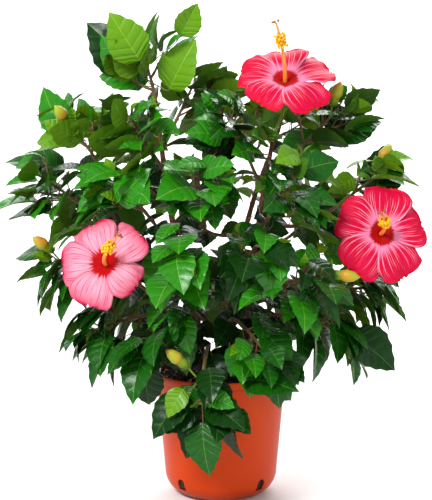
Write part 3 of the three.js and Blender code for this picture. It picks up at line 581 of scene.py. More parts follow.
def growShoot(row, store):
    random = seededDraw(row["seed"])
    points, radii, owners = everything
    leader, sideLeaves = row["leader"], row["leaves"] * twigForm["sideShare"]
    away = np.linalg.norm(points - leader["start"], axis=1)
    growth = Growth((owners != row["name"]) & (away > clearance["root"] + radii), random, row)
    twigs = [leader]
    turn = random(0, 360)
    for share, spread, length in twigForm["sides"]:
        turn += 180 + random(-twigForm["sideTurn"], twigForm["sideTurn"])
        place = leader["bare"] + (1 - leader["bare"]) * share
        twig = sideTwig(leader, place, turn, spread, length, twigForm["radius"] * twigForm["sideRadiusShare"],
                        sideLeaves)
        if growth.twigFits(twig["curve"], twigForm["radius"]):
            twigs.append(twig)
    for twig in twigs:
        growth.avoid(twig)
    growth.growMarked(leader)
    spare = (3 - len(twigs)) * sideLeaves
    for i, twig in enumerate(twigs):
        count = math.floor(twig["leaves"] + spare / len(twigs) + 0.5)
        growth.growLeaves(twig, count, i * 60 + random(0, 360), fuller["first"])
    for twig in list(twigs):
        twigs += growth.growFine(twig)
    growth.unfoldYoung(twigs)
    for leaf in growth.store.leaves:
        store.add(leaf)
    return twigs


def growInner(store):  # leaves on the stems and boughs themselves, in the crown's heart
    for place, limb in enumerate(limbs.values()):
        random = seededDraw(1000 + 7 * place)
        samples, _ = limbSamples(limb["curve"], limb["radiusAt"])
        away = np.linalg.norm(everything[0][:, None] - samples, axis=2).min(axis=1)
        growth = Growth(away > clearance["root"], random, store=store)
        count = int(lengthOf(samples) / fuller["innerSpacing"])
        turn = random(0, 360)
        for i in range(count):
            share = (i + 0.5) / count
            node = along(limb["curve"], share)
            turn += leafForm["goldenTurn"]
            if node[2] >= soilTop + fuller["innerAbove"]:
                twig = {"curve": limb["curve"], "outward": outwardFrom(node, upward), "bare": share}
                growth.growLeaves(twig, 1, turn, fuller["inner"], lambda curve, _: node)


everything = allObstacles()
leafStore = LeafStore()
shootTwigs = [growShoot(shoot, leafStore) for shoot in shoots.values()]
print("rule:", len(leafStore.leaves), "leaves on", sum(map(len, shootTwigs)), "twigs")
growInner(leafStore)
leaves = [leaf for leaf in leafStore.leaves if not leaf.get("pierces")]
print("rule:", len(leafStore.leaves), "with the inner leaves,", len(leaves), "that pierce no other")


# Ways of working that all pieces share

def clearSelection():  # also leaves edit mode
    if bpy.context.mode != "OBJECT":
        bpy.ops.object.mode_set(mode="OBJECT")
    bpy.ops.object.select_all(action="DESELECT")


def only(piece):
    clearSelection()
    piece.select_set(True)
    bpy.context.view_layer.objects.active = piece
    return piece


def settle(piece):  # applies the place, and leaves the object at the origin
    only(piece)
    bpy.ops.object.transform_apply(location=True, rotation=True, scale=True)
    return piece


def added(primitive, name, **settings):
    clearSelection()
    primitive(**settings)
    piece = bpy.context.active_object
    piece.name = piece.data.name = name
    return settle(piece)


def modified(piece, kind, **settings):  # by a modifier that is applied at once
    modifier = piece.modifiers.new(kind, kind)
    for what, value in settings.items():
        setattr(modifier, what, value)
    only(piece)
    bpy.ops.object.modifier_apply(modifier=modifier.name)
    return piece


def roughen(piece, strength, size, **more):
    texture = bpy.data.textures.new(piece.name + "_relief", "CLOUDS")
    texture.noise_scale = size * mm
    return modified(piece, "DISPLACE", texture=texture, texture_coords="LOCAL", strength=strength * mm, **more)


def join(pieces, name):
    only(pieces[0])
    for piece in pieces:
        piece.select_set(True)
    bpy.ops.object.join()
    pieces[0].name = pieces[0].data.name = name
    return pieces[0]


def smooth(piece, angle=None):
    only(piece)
    if angle is None:
        bpy.ops.object.shade_smooth()
    else:
        bpy.ops.object.shade_smooth_by_angle(angle=math.radians(angle))
    return piece


def select(piece, kind, test):  # goes into edit mode with just these vertices, edges or faces selected
    only(piece)
    bpy.ops.object.mode_set(mode="EDIT")
    bpy.ops.mesh.select_mode(type={"verts": "VERT", "edges": "EDGE", "faces": "FACE"}[kind])
    bpy.ops.mesh.select_all(action="DESELECT")
    cage = bmesh.from_edit_mesh(piece.data)
    for item in getattr(cage, kind):
        if test(item):
            item.select_set(True)
    cage.select_flush_mode()
    bmesh.update_edit_mesh(piece.data)


def pick(piece, mask):
    select(piece, "verts", lambda vert: mask[vert.index])


def move(x, y, z):
    bpy.ops.transform.translate(value=(x, y, z))


def stretch(x, y=1, z=1, about=(0, 0, 0)):
    bpy.ops.transform.resize(value=(x, y, z), center_override=about)


def extrude(rise=0):
    bpy.ops.mesh.extrude_edges_move(TRANSFORM_OT_translate={"value": (0, 0, rise)})


def raiseRings(rings):  # extrudes the selected edge from ring to ring, each a radius and a height
    for (firstRadius, foot), (secondRadius, top) in zip(rings, rings[1:]):
        extrude((top - foot) * mm)
        stretch(secondRadius / firstRadius, secondRadius / firstRadius, about=(0, 0, top * mm))


def placesOf(piece):
    places = np.empty(len(piece.data.vertices) * 3)
    piece.data.vertices.foreach_get("co", places)
    return places.reshape(-1, 3)


def shapedGrid(name, columns, rows):  # along and half width of each row; also each vertex's column and row
    count = len(rows) - 1
    piece = added(bpy.ops.mesh.primitive_grid_add, name, x_subdivisions=columns, y_subdivisions=count, size=1,
                  location=(0, 0.5, 0))
    columnOf, rowOf = np.rint(placesOf(piece)[:, :2] * (columns, count)).astype(int).T
    for k, (reach, half) in enumerate(rows):
        pick(piece, rowOf == k)
        stretch(half / 0.5, about=(0, k / count, 0))
        move(0, reach - k / count, 0)
    return piece, columnOf, rowOf


def copyOf(template, name, places=None):  # with its own mesh, its vertices at these places in mm
    copy = template.copy()
    copy.data = template.data.copy()
    copy.name = name
    bpy.context.collection.objects.link(copy)
    if places is not None:
        copy.data.vertices.foreach_set("co", (places * mm).ravel())
        copy.data.update()
    return copy


def placed(template, name, matrix):
    copy = copyOf(template, name)
    copy.matrix_world = matrix
    return settle(copy)


def retire(*templates):
    for template in templates:
        bpy.data.objects.remove(template, do_unlink=True)


def tubes(name, traces, sides):  # round tubes along points, with a radius at each point
    data = bpy.data.curves.new(name, "CURVE")
    data.dimensions = "3D"
    data.bevel_depth = mm
    data.bevel_resolution = (sides - 4) // 2
    data.use_fill_caps = True
    for points, radii in traces:
        spline = data.splines.new("POLY")
        spline.points.add(len(points) - 1)
        spline.points.foreach_set("co", np.hstack([points * mm, np.ones((len(points), 1))]).ravel())
        spline.points.foreach_set("radius", radii)
    piece = bpy.data.objects.new(name, data)
    bpy.context.collection.objects.link(piece)
    only(piece)
    bpy.ops.object.convert(target="MESH")
    return smooth(bpy.context.active_object)


def frameAlong(origin, forward, turn):  # turns a piece's z to the way forward
    across = spokeAround(forward, turn)
    matrix = Matrix([[*row] for row in np.stack([across, cross(forward, across), forward], axis=1)]).to_4x4()
    matrix.translation = Vector(origin * mm)
    return matrix


def finish(piece, *materials):
    slots = piece.data.materials
    for i, each in enumerate(materials):
        if i < len(slots):
            slots[i] = each
        else:
            slots.append(each)
    return piece


def hand(piece, slot, nodes, *materials):  # it rides with the plant, takes the given finishes, stands for nodes
    finish(piece, *materials)
    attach(piece, "root")
    if nodes:
        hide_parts(*nodes)
    return len(piece.data.polygons)


# Node helpers, and the effects that several materials share

def colour(*values):
    shares = [value / 255 for value in values]
    return [share / 12.92 if share <= 0.04045 else ((share + 0.055) / 1.055) ** 2.4 for share in shares] + [1]


def isSocket(value):
    return isinstance(value, bpy.types.NodeSocket)


def feed(inputs, values):  # each socket takes a link or a constant, colours as the usual 0 to 255
    for socket, value in values.items():
        if isSocket(value):
            value.id_data.links.new(value, inputs[socket])
        else:
            inputs[socket].default_value = colour(*value) if inputs[socket].type == "RGBA" else value


def node(kind, inputs, tree=None, **settings):  # in the tree of the sockets that feed it, unless one is given
    tree = tree or next(value.id_data for value in inputs.values() if isSocket(value))
    made = tree.nodes.new("ShaderNode" + kind)
    for what, value in settings.items():
        setattr(made, what, value)
    feed(made.inputs, inputs)
    return made.outputs


def reckon(operation, *values, clamp=False):
    return node("Math", dict(enumerate(values)), operation=operation, use_clamp=clamp)[0]


def plus(first, second):
    return reckon("ADD", first, second)


def minus(first, second):
    return reckon("SUBTRACT", first, second)


def times(first, second):
    return reckon("MULTIPLY", first, second)


def blend(share, first, second):
    return node("Mix", {0: share, 6: first, 7: second}, data_type="RGBA")[2]


def between(value, least, most):  # a soft step from 0 to 1
    return node("MapRange", {"Value": value, "From Min": least, "From Max": most},
                interpolation_type="SMOOTHSTEP")[0]


def below(value, least, most):  # a soft step from 1 to 0
    return minus(1.0, between(value, least, most))


def bump(height, strength, distance):
    return node("Bump", {"Height": height, "Strength": strength, "Distance": distance})[0]


def objectPlace(tree, scale=(1, 1, 1)):
    return node("Mapping", {"Vector": node("TexCoord", {}, tree)["Object"], "Scale": scale})[0]


def painted(surface, sockets):
    feed(surface.node_tree.nodes["Principled BSDF"].inputs, sockets)
    return surface


def material(name, roughness):
    made = bpy.data.materials.new(name)
    made.use_nodes = True
    return painted(made, {"Roughness": roughness}), made.node_tree


def nodeGroup(name, result, **inputs):  # an input is a number with its usual value, or a vector for None
    group = bpy.data.node_groups.new(name, "ShaderNodeTree")
    for inputName, value in inputs.items():
        kind = "NodeSocketVector" if value is None else "NodeSocketFloat"
        socket = group.interface.new_socket(name=inputName, in_out="INPUT", socket_type=kind)
        if value is not None:
            socket.default_value = value
    group.interface.new_socket(name=result, in_out="OUTPUT", socket_type="NodeSocketFloat")
    return group, group.nodes.new("NodeGroupInput").outputs, group.nodes.new("NodeGroupOutput").inputs


# patches: a soft value that wanders between two limits
patches, given, result = nodeGroup("patches", "Value", Vector=None, Scale=20.0, Least=0.0, Most=1.0)
cloud = node("TexNoise", {"Vector": given["Vector"], "Scale": given["Scale"], "Detail": 3.0})[0]
feed(result, {0: node("MapRange", {"Value": cloud, "From Min": 0.3, "From Max": 0.7, "To Min": given["Least"],
                                   "To Max": given["Most"]})[0]})

# specks: small round spots, for lenticels, pits and grit
specks, given, result = nodeGroup("specks", "Mask", Vector=None, Scale=200.0, Size=0.3)
cell = node("TexVoronoi", {"Vector": given["Vector"], "Scale": given["Scale"]})["Distance"]
feed(result, {0: below(cell, times(given["Size"], 0.6), given["Size"])})

# veining: a leaf's quilted face, high between the side veins that the UV rows count
veining, given, result = nodeGroup("veining", "Height", Rows=None, Vector=None, Grain=0.25)
part = reckon("FRACT", node("SeparateXYZ", {0: given["Rows"]})[0])
puff = reckon("POWER", times(times(part, minus(1.0, part)), 4.0), 0.6)
grain = node("TexNoise", {"Vector": given["Vector"], "Scale": 260.0, "Detail": 2.0})[0]
feed(result, {0: plus(puff, times(grain, given["Grain"]))})


def patchy(place, scale, **limits):
    return node("Group", {"Vector": place, "Scale": scale, **limits}, node_tree=patches)[0]


def speckled(place, scale, size):
    return node("Group", {"Vector": place, "Scale": scale, "Size": size}, node_tree=specks)[0]


def plainFinish(name, base, roughness, scale=120.0):
    surface, tree = material(name, roughness)
    cloudy = patchy(objectPlace(tree), scale)
    return painted(surface, {"Base Color": base, "Normal": bump(cloudy, 0.5, 0.0005),
                             "Roughness": plus(times(cloudy, 0.14), roughness - 0.07)})


# Leaves

leafLook = {
    # the rib's rows: along the rib, along at the rim, half width
    "rows": [(0.0, 0.0, 0.05), (0.03, 0.09, 0.35), (0.13, 0.29, 0.475), (0.28, 0.47, 0.465),
             (0.46, 0.66, 0.345), (0.68, 0.84, 0.165), (1.0, 1.0, 0.0)],
    "middle": 0.56, "middleAhead": 0.85, "dome": 0.06, "tipWidth": 0.002, "veinWidth": 0.0046,
    "thickness": 0.017, "tooth": 0.02, "bow": 0.008, "fold": (0.02, 0.34), "twist": 22.0, "bend": 0.07,
    "curl": (-0.028, 0.07), "twistFrom": 0.2, "seed": 4001,
    "petioleRadii": (1.45, 1.0, 0.85, 1.0, 0.7, 0.3), "petioleShares": (0, 0.3, 0.6, 0.85),
    "petioleBend": 0.45, "petioleEnd": 0.3, "ribShares": (0.03, 0.3), "underBlade": 0.9,
    "leastScale": 0.45, "fullSize": 80.0, "petioleSeed": 4002, "pinkShare": 0.35,
    "petioleColours": {"green": (104, 118, 52), "pink": (128, 78, 52)},
}
# deep, mid and bright are one leaf green from shaded to lit: painted shade and painted light over the leaves'
# own differing greens. lime is the young leaves' own yellow-green, and on the crown's top also a painted glow
# of light through the leaves
shadeLooks = {
    "deep": {"upper": (10, 52, 6), "under": (46, 78, 18), "vein": (84, 118, 56),
             "sideVein": (36, 74, 24), "rough": 0.27, "shine": 0.13},
    "mid": {"upper": (18, 82, 8), "under": (62, 106, 16), "vein": (112, 158, 66),
            "sideVein": (48, 112, 28), "rough": 0.28, "shine": 0.2},
    "bright": {"upper": (36, 122, 8), "under": (88, 132, 10), "vein": (140, 188, 72),
               "sideVein": (74, 150, 30), "rough": 0.3, "shine": 0.26},
    "lime": {"upper": (90, 142, 4), "under": (104, 140, 4), "vein": (150, 182, 50),
             "sideVein": (112, 156, 14), "rough": 0.42, "shine": 0.2},
}
# height and reach paint light: high, outer sprays come out lighter as painted light, low, inner ones darker as
# painted shade; the chance part is the sprays' own variety
shadeDeal = {  # how a spray comes by its shade: chance, height and reach from the crown's middle are weighed
    "chance": 0.5, "height": 0.3, "reach": 0.2, "fullReach": 240.0,
    "steps": ((0.76, "lime"), (0.52, "bright"), (0.34, "mid"), (0.0, "deep")),
}


def buildLeaf():
    rows, middle = leafLook["rows"], leafLook["middle"]
    widths = [(rib, max(half, leafLook["tipWidth"])) for rib, _, half in rows]
    leaf, columnOf, rowOf = shapedGrid("leafTemplate", 4, widths)
    for k, (rib, rim, half) in enumerate(rows):
        pick(leaf, (rowOf == k) & (np.abs(columnOf) == 2))
        move(0, rim - rib, 0)
        pick(leaf, (rowOf == k) & (np.abs(columnOf) == 1))
        stretch(middle / 0.5, about=(0, rib, 0))
        move(0, (rim - rib) * middle * leafLook["middleAhead"], leafLook["dome"] * half)
    clearSelection()
    shaped = placesOf(leaf)[:, :2]
    for _ in range(4):
        leaf.data.materials.append(None)
    select(leaf, "verts", lambda vert: vert.co.y > 0.999)
    bpy.ops.mesh.merge(type="CENTER")

    def rowAt(place):
        return rowOf[np.linalg.norm(shaped - place[:2], axis=1).argmin()]

    def isVein(edge):
        first, second = (vert.co for vert in edge.verts)
        onRib = abs(first.x) < 1e-4 and abs(second.x) < 1e-4
        sideways = first.x * second.x >= -1e-6 and abs(first.x - second.x) > 0.02
        toTip = max(first.y, second.y) > 0.9999
        return not edge.is_boundary and (onRib or sideways and not toTip and rowAt(first) == rowAt(second))

    def onSide(vert, side):
        return vert.is_boundary and vert.co.x * side > 0.02

    def nearTooth(vert, reach):
        return any(math.hypot(abs(vert.co.x) - half, vert.co.y - rim) < reach for _, rim, half in rows[1:-1])

    select(leaf, "edges", isVein)
    bpy.ops.mesh.bevel(offset=leafLook["veinWidth"], offset_type="OFFSET", segments=1, affect="EDGES",
                       material=2)
    # the rim bows out between the veins, and past the rounded foot each vein ends in a tooth
    select(leaf, "edges", lambda edge: edge.is_boundary and edge.calc_length() > 0.06
           and max(vert.co.y for vert in edge.verts) > 0.12)
    bpy.ops.mesh.subdivide(number_cuts=1)
    select(leaf, "faces", lambda face: len(face.verts) == 5 and max(vert.co.y for vert in face.verts) < 0.4)
    bpy.ops.mesh.quads_convert_to_tris(ngon_method="BEAUTY")
    for side in (-1, 1):
        select(leaf, "verts", lambda vert: onSide(vert, side) and not nearTooth(vert, 0.03))
        move(leafLook["bow"] * side, 0, 0)
        select(leaf, "verts", lambda vert: onSide(vert, side) and vert.co.y > 0.25 and nearTooth(vert, 0.015))
        move(leafLook["tooth"] * side, leafLook["tooth"], 0)
    return underside(leaf)


def underside(leaf):  # the lower face: the same outline with fewer faces, a hair below, the rims shared
    only(leaf)
    upperFaces = len(leaf.data.polygons)
    select(leaf, "faces", lambda face: True)
    bpy.ops.mesh.duplicate()
    bpy.ops.mesh.flip_normals()

    def onRib(face):
        return abs(face.calc_center_median().x) < 0.004

    def spare(edge):  # all but the rib's two sides and the near side of each side vein
        faces = edge.link_faces
        if len(faces) != 2 or faces[0].index < upperFaces:
            return False
        if onRib(faces[0]) or onRib(faces[1]):
            return onRib(faces[0]) and onRib(faces[1])
        if faces[0].material_index == faces[1].material_index:  # by the foot the blade's two parts stay apart
            return edge.verts[0].co.y > 0.4 or any(len(face.verts) < 4 for face in faces)
        vein = next(face for face in faces if face.material_index == 2)
        return (edge.verts[0].co.y + edge.verts[1].co.y) / 2 > vein.calc_center_median().y

    select(leaf, "edges", spare)
    bpy.ops.mesh.dissolve_edges(use_verts=False, use_face_split=False)
    clearSelection()
    lowerOnes = {face.index for face in leaf.data.polygons if face.normal.z < 0}
    select(leaf, "faces", lambda face: face.index in lowerOnes)
    cage = bmesh.from_edit_mesh(leaf.data)
    for face in cage.faces:
        if face.select and not onRib(face):
            face.material_index = 1
        elif face.material_index == 2 and not onRib(face):  # side veins fade out before the rim
            face.material_index = 0 if any(vert.is_boundary for vert in face.verts) else 3
    bmesh.update_edit_mesh(leaf.data)
    select(leaf, "verts", lambda vert: not vert.is_boundary
           and all(face.index in lowerOnes for face in vert.link_faces))
    move(0, 0, -leafLook["thickness"])
    select(leaf, "edges", lambda edge: edge.is_boundary)
    bpy.ops.mesh.mark_sharp()
    bpy.ops.mesh.select_all(action="SELECT")
    bpy.ops.mesh.remove_doubles(threshold=1e-5)
    smooth(leaf)
    ribs = [row[0] for row in leafLook["rows"]]
    for loop in leaf.data.loops:  # u counts the rows between side veins, v runs from rib to rim
        place = leaf.data.vertices[loop.vertex_index].co
        spread = min(1, abs(place.x) / 0.45)
        row = np.interp(place.y - 0.18 * spread, ribs, range(len(ribs)))
        leaf.data.uv_layers.active.data[loop.index].uv = (row, spread)
    return leaf


def bendLeaf(leaf, template, random):  # the template's vertices laid along one leaf's blade
    x, y, z = template.T
    length, width = leaf["length"], leaf["width"]
    fold = random(*leafLook["fold"]) + leaf.get("fold", 0)
    twist = math.radians(random(-1, 1) * leafLook["twist"]) * (y - leafLook["twistFrom"])
    bend = random(-1, 1) * leafLook["bend"] * y * y
    curl = random(*leafLook["curl"]) * y ** 3
    across, lift = x * width, z * length + np.abs(x) * width * fold
    aside = across * np.cos(twist) - lift * np.sin(twist) + bend * length
    lift = bladeArch(length, y) + (across * np.sin(twist) + lift * np.cos(twist)) - curl * length
    return laidOut(leaf["foot"], (y * length, leaf["axis"]), (aside, leaf["side"]), (lift, leaf["normal"]))


def petioleTrace(leaf):
    reach, foot, root, axis = leaf["petiole"], leaf["foot"], leaf["root"], leaf["axis"]
    depth = leafLook["underBlade"]
    under = leaf["normal"] * -depth
    bend, end, least = leafLook["petioleBend"], leafLook["petioleEnd"], leafLook["leastScale"]
    course = [root, root + leaf["stalk"] * reach * bend, foot - axis * reach * end + under, foot + under]
    beneath = [foot + axis * leaf["length"] * share
               + leaf["normal"] * (bladeArch(leaf["length"], share) - depth)
               for share in leafLook["ribShares"]]
    scale = least + (1 - least) * min(1, leaf["length"] / leafLook["fullSize"])
    places = np.vstack([along(course, leafLook["petioleShares"]), *beneath])
    return places, np.array(leafLook["petioleRadii"]) * scale


def shadeOf(leaf, sprayLuck):
    if leaf["shade"]:
        return leaf["shade"]
    # painted light and shade: the higher and farther out the spray, the lighter its green
    x, y, _ = leaf["spray"]
    reach = min(1, math.hypot(x, y) / shadeDeal["fullReach"])
    weighed = (shadeDeal["chance"] * sprayLuck + shadeDeal["height"] * climbOf(leaf["spray"])
               + shadeDeal["reach"] * reach)
    return next(shade for least, shade in shadeDeal["steps"] if weighed >= least)


def leafMaterials(shade):
    look = shadeLooks[shade]
    made = []
    for side, roughness, coat, quilting in (("upper", look["rough"], 0.14, 0.85), ("under", 0.62, 0.0, 0.4),
                                            ("vein", 0.45, 0.1, 0.4), ("sideVein", 0.4, 0.15, 0.4)):
        surface, tree = material("leaf_" + shade + "_" + side, roughness)
        place = objectPlace(tree)
        rows = node("TexCoord", {}, tree)["UV"]
        height = node("Group", {"Rows": rows, "Vector": place, "Grain": 0.3}, node_tree=veining)[0]
        made.append(painted(surface, {
            "Base Color": look[side], "Coat Weight": coat, "Coat Roughness": 0.16,
            "Specular IOR Level": look["shine"], "Normal": bump(height, quilting, 0.0016),
            "Roughness": patchy(place, 34.0, Least=roughness - 0.07, Most=roughness + 0.1)}))
    return made


leafTemplate = buildLeaf()
templatePlaces = placesOf(leafTemplate)
leafTemplates = {shade: finish(copyOf(leafTemplate, shade), *leafMaterials(shade)) for shade in shadeLooks}
leafRandom = seededDraw(leafLook["seed"])
leafCopies = {shade: [] for shade in shadeLooks}
luckOf = {}
for leaf in leafStore.leaves:
    spray = leaf.get("spray")
    if spray not in luckOf:
        luckOf[spray] = leafRandom(0, 1)
    shade = shadeOf(leaf, luckOf[spray])
    places = bendLeaf(leaf, templatePlaces, leafRandom)
    if not leaf.get("pierces"):
        leafCopies[shade].append(copyOf(leafTemplates[shade], "leaf", places))
for shade, copies in leafCopies.items():
    faces = hand(join(copies, "leaves_" + shade), "foliage", shoots)
    print("leaves:", shade, len(copies), "copies,", faces, "faces")
retire(leafTemplate, *leafTemplates.values())


# Petioles, twigs and the bristles at their tips

twigLook = {
    "leader": (3.1, 1.9), "side": (2.5, 1.4), "fine": (1.7, 1.0), "sides": 8, "swelling": 0.18,
    "bristles": 4, "bristleLength": (6.0, 15.0), "bristleSpread": 34.0, "bristleRadius": 0.35,
    "bristleGap": 1.5, "bristleNear": 130.0, "bristleColour": (150, 48, 62), "bristleSeed": 4003,
}
barkGrain = {"roughness": 0.72, "broad": 26.0, "stretch": (1, 1, 0.16), "spots": 150.0, "spotSize": 0.26,
             "spotStretch": (0.6, 0.6, 1.4)}
barkLooks = {  # dark, pale, scars, scale of the grain, depth of the bump
    "twig_bark": ((88, 62, 34), (128, 108, 58), (168, 140, 104), 300.0, 0.0006),
    "stem_bark": ((64, 34, 20), (120, 76, 46), (176, 140, 108), 220.0, 0.0012),
    "bough_bark": ((70, 42, 24), (124, 88, 50), (172, 140, 104), 260.0, 0.001),
}


def twigTrace(twig, place):
    first, last = twigLook["leader" if place == 0 else "side" if twig["radius"] > fuller["radius"] else "fine"]
    shares = np.linspace(0, 1, 13)
    nodes = 1 + twigLook["swelling"] * (np.arange(13) % 3 == 0)  # it thickens where leaves stand
    return along(twig["curve"], shares), (first + (last - first) * shares) * nodes


def barkFinish(name):
    dark, pale, scar, grainScale, depth = barkLooks[name]
    surface, tree = material(name, barkGrain["roughness"])
    streaks = patchy(objectPlace(tree, barkGrain["stretch"]), grainScale)
    broad = patchy(objectPlace(tree), barkGrain["broad"])
    spots = speckled(objectPlace(tree, barkGrain["spotStretch"]), barkGrain["spots"], barkGrain["spotSize"])
    shaded = blend(plus(times(streaks, 0.55), times(broad, 0.45)), dark, pale)
    return painted(surface, {
        "Base Color": blend(times(spots, 0.7), shaded, scar),
        "Normal": bump(plus(streaks, times(spots, 0.8)), 0.8, depth),
        "Roughness": plus(times(broad, 0.18), 0.6)})


def petioleFinish(name):
    surface, tree = material("petiole_" + name, 0.5)
    ridges = patchy(objectPlace(tree, (1, 1, 0.2)), 400.0)
    return painted(surface, {"Base Color": leafLook["petioleColours"][name], "Coat Weight": 0.1,
                             "Normal": bump(ridges, 0.4, 0.0004)})


petioleRandom = seededDraw(leafLook["petioleSeed"])
petioles = tubes("petioles", map(petioleTrace, leaves), 6)
pinkOnes = [petioleRandom(0, 1) < leafLook["pinkShare"] for _ in leaves]
finish(petioles, petioleFinish("green"), petioleFinish("pink"))
slabs = len(petioles.data.polygons) // len(leaves)  # every petiole has as many faces
petioles.data.polygons.foreach_set("material_index", np.repeat(np.array(pinkOnes, np.int32), slabs))
petioleFaces = hand(petioles, "foliage", shoots)

twigTraces, bristleTraces = [], []
bristleRandom = seededDraw(twigLook["bristleSeed"])
for twigs in shootTwigs:
    for i, twig in enumerate(twigs):
        twigTraces.append(twigTrace(twig, i))
        tip, tangent = along(twig["curve"], 1), tangentAt(twig["curve"], 1)
        for _ in range(twigLook["bristles"]):
            spread = math.radians(bristleRandom(0.3, 1) * twigLook["bristleSpread"])
            spoke = spokeAround(tangent, bristleRandom(0, 360))
            heading = swung(tangent, spoke, spread)
            length = bristleRandom(*twigLook["bristleLength"])
            hair = [tip, tip + heading * length * 0.6, tip + heading * length + spoke * length * 0.2]
            near = leafStore.near(tip, twigLook["bristleNear"])
            if not leafStore.reachedBy(along(hair, sampling["course"]), near, twigLook["bristleGap"]):
                radii = np.array([1, 0.8, 0.3]) * twigLook["bristleRadius"]
                bristleTraces.append((along(hair, [0, 0.5, 1]), radii))
hand(tubes("twigs", twigTraces, twigLook["sides"]), "bough_bark", shoots, barkFinish("twig_bark"))
bristleFinish, tree = material("bristle", 0.55)
painted(bristleFinish, {"Base Color": twigLook["bristleColour"],
                        "Roughness": patchy(objectPlace(tree), 80.0, Least=0.45, Most=0.65)})
hand(tubes("tip_bristles", bristleTraces, 4), "foliage", shoots, bristleFinish)
print("twigs:", len(twigTraces), "twigs,", len(bristleTraces), "bristles,", petioleFaces, "petiole faces")


# Stems and boughs, with their nodes and bark relief

barkLook = {
    "step": 5.0, "nodeSpacing": 27.0, "nodeSwell": 0.13, "nodeReach": 0.13, "unevenness": 0.05,
    "slimmer": 0.97, "reliefSize": 5.0, "seed": 5000,
    "pieces": {"stem": (16, 0.9), "bough": (12, 0.54)},  # sides, relief
}


def limbTrace(limb, seed):
    random = seededDraw(seed)
    length = curveLength(limb["curve"])
    shares = np.linspace(0, 1, max(6, int(length / barkLook["step"])))
    phase = (shares * length / barkLook["nodeSpacing"] + random(0, 1)) % 1
    swell = np.exp(-((phase - 0.5) / barkLook["nodeReach"]) ** 2)
    uneven = np.array([random(-1, 1) * barkLook["unevenness"] for _ in shares])
    radii = np.array([limb["radiusAt"](share) for share in shares])
    return along(limb["curve"], shares), radii * (barkLook["slimmer"] + barkLook["nodeSwell"] * swell + uneven)


for kind, (sides, relief) in barkLook["pieces"].items():
    members = [name for name in limbs if name.startswith(kind)]
    traces = [limbTrace(limbs[name], barkLook["seed"] + i) for i, name in enumerate(members)]
    piece = tubes(kind + "s", traces, sides)
    roughen(piece, relief, barkLook["reliefSize"])
    faces = hand(smooth(piece), kind + "_bark", members, barkFinish(kind + "_bark"))
    print(kind + "s:", len(members), "limbs,", faces, "faces")


# Blooms

bloomLook = {
    # along the petal, half width as a share of the petal's reach
    "petalRows": [(0.0, 0.07), (0.1, 0.14), (0.22, 0.25), (0.35, 0.35), (0.48, 0.43), (0.6, 0.48), (0.72, 0.5),
                  (0.83, 0.485), (0.92, 0.42), (0.975, 0.31), (1.0, 0.17)],
    "columns": 14, "ruffle": 0.06, "edgeWander": 0.07, "thickness": 0.5, "footRadius": 3.0,
    "rise": 11.0, "sink": 4.0, "twist": 6.0, "anthers": 44, "antherRadius": 2.3, "antherShares": (0.6, 0.84),
    "filament": 7.0, "petalReach": (0.9, 1.05), "petalTurn": 4.0, "padRadius": 2.0, "padSpread": 6.5,
    "seed": 7000, "petalSeed": 61, "petals": 5, "pads": 5, "padTurn": 20, "stalkRadius": 2.3,
    "stalkFlare": 1.3, "columnRadius": 3.3, "columnTaper": 1.3, "columnBend": 0.55,
    "calyxRise": 40, "calyxLobes": 5, "calyxLobeRise": 9,
    "calyxRadii": (3.4, 6.4, 8.6, 9.6, 10.6, 11.8), "calyxBack": 52.0, "calyxTurn": 36, "bractsBack": 50.0,
    "bractRing": 4.0, "bractLength": 22.0, "bractSpread": 0.75, "bractRadius": 0.9,
}
petalLooks = {
    "hot": {"slot": "bloom", "frill": 1, "face": (198, 0, 36), "cloud": (210, 4, 78), "line": (252, 176, 204),
            "lineShare": 0.75, "linesFrom": 0.3, "linesTo": 0.8, "halo": (246, 150, 190), "haloShare": 0.75,
            "margin": (222, 26, 30), "rimFrom": 0.86, "eye": (168, 0, 4), "starReach": 0.05},
    "pale": {"slot": "bloom_pale", "frill": 1.5, "face": (234, 132, 156), "cloud": (244, 174, 192),
             "line": (150, 12, 84), "lineShare": 0.75, "linesFrom": 0.7, "linesTo": 1.1,
             "halo": (232, 132, 158), "haloShare": 0.4,
             "margin": (206, 4, 74), "rimFrom": 0.46, "eye": (176, 0, 8), "starReach": 0.14},
}


def buildPetal():
    columns, ruffle = bloomLook["columns"], bloomLook["ruffle"]
    petal, columnOf, rowOf = shapedGrid("petalTemplate", columns, bloomLook["petalRows"])
    count, edge = len(bloomLook["petalRows"]) - 1, columns // 2
    random = seededDraw(bloomLook["petalSeed"])
    for k in range(3, count + 1):  # the side edges wave up and down
        for side in (-1, 1):
            pick(petal, (rowOf == k) & (columnOf == side * edge))
            lift = ruffle * math.sin(2.2 * k + side) * random(0.6, 1.1)
            move(side * random(-1, 1) * bloomLook["edgeWander"] / 2, 0, lift)
    for column in range(-edge, edge + 1):  # and so does the outer edge
        lift = ruffle * math.sin(2.3 * column + 0.6) * random(0.6, 1.2)
        back = random(0, 1) * bloomLook["edgeWander"]
        for k, share in ((count - 2, 0.35), (count - 1, 0.7), (count, 1)):
            pick(petal, (rowOf == k) & (columnOf == column))
            move(0, -back * share, lift * share)
    return modified(petal, "SUBSURF", levels=1, render_levels=1)


def bendPetal(template, blossom, angle, reach, frill, random):
    eye, normal, across, over = blossom
    outward = swung(across, over, angle)
    x, y, z = template.T
    radial = bloomLook["footRadius"] + (reach - bloomLook["footRadius"]) * y
    turnBack = random(2, 9) * y ** 4
    wave = 1.6 * np.sin(x * random(9, 14) + random(0, 6)) * y
    height = (bloomLook["rise"] * np.sin(math.pi * y * 0.9) - bloomLook["sink"] + z * reach * frill - turnBack
              + wave + bloomLook["twist"] * x / 0.5 * y)
    return laidOut(eye, (radial, outward), (x * reach, cross(outward, normal)), (height, normal))


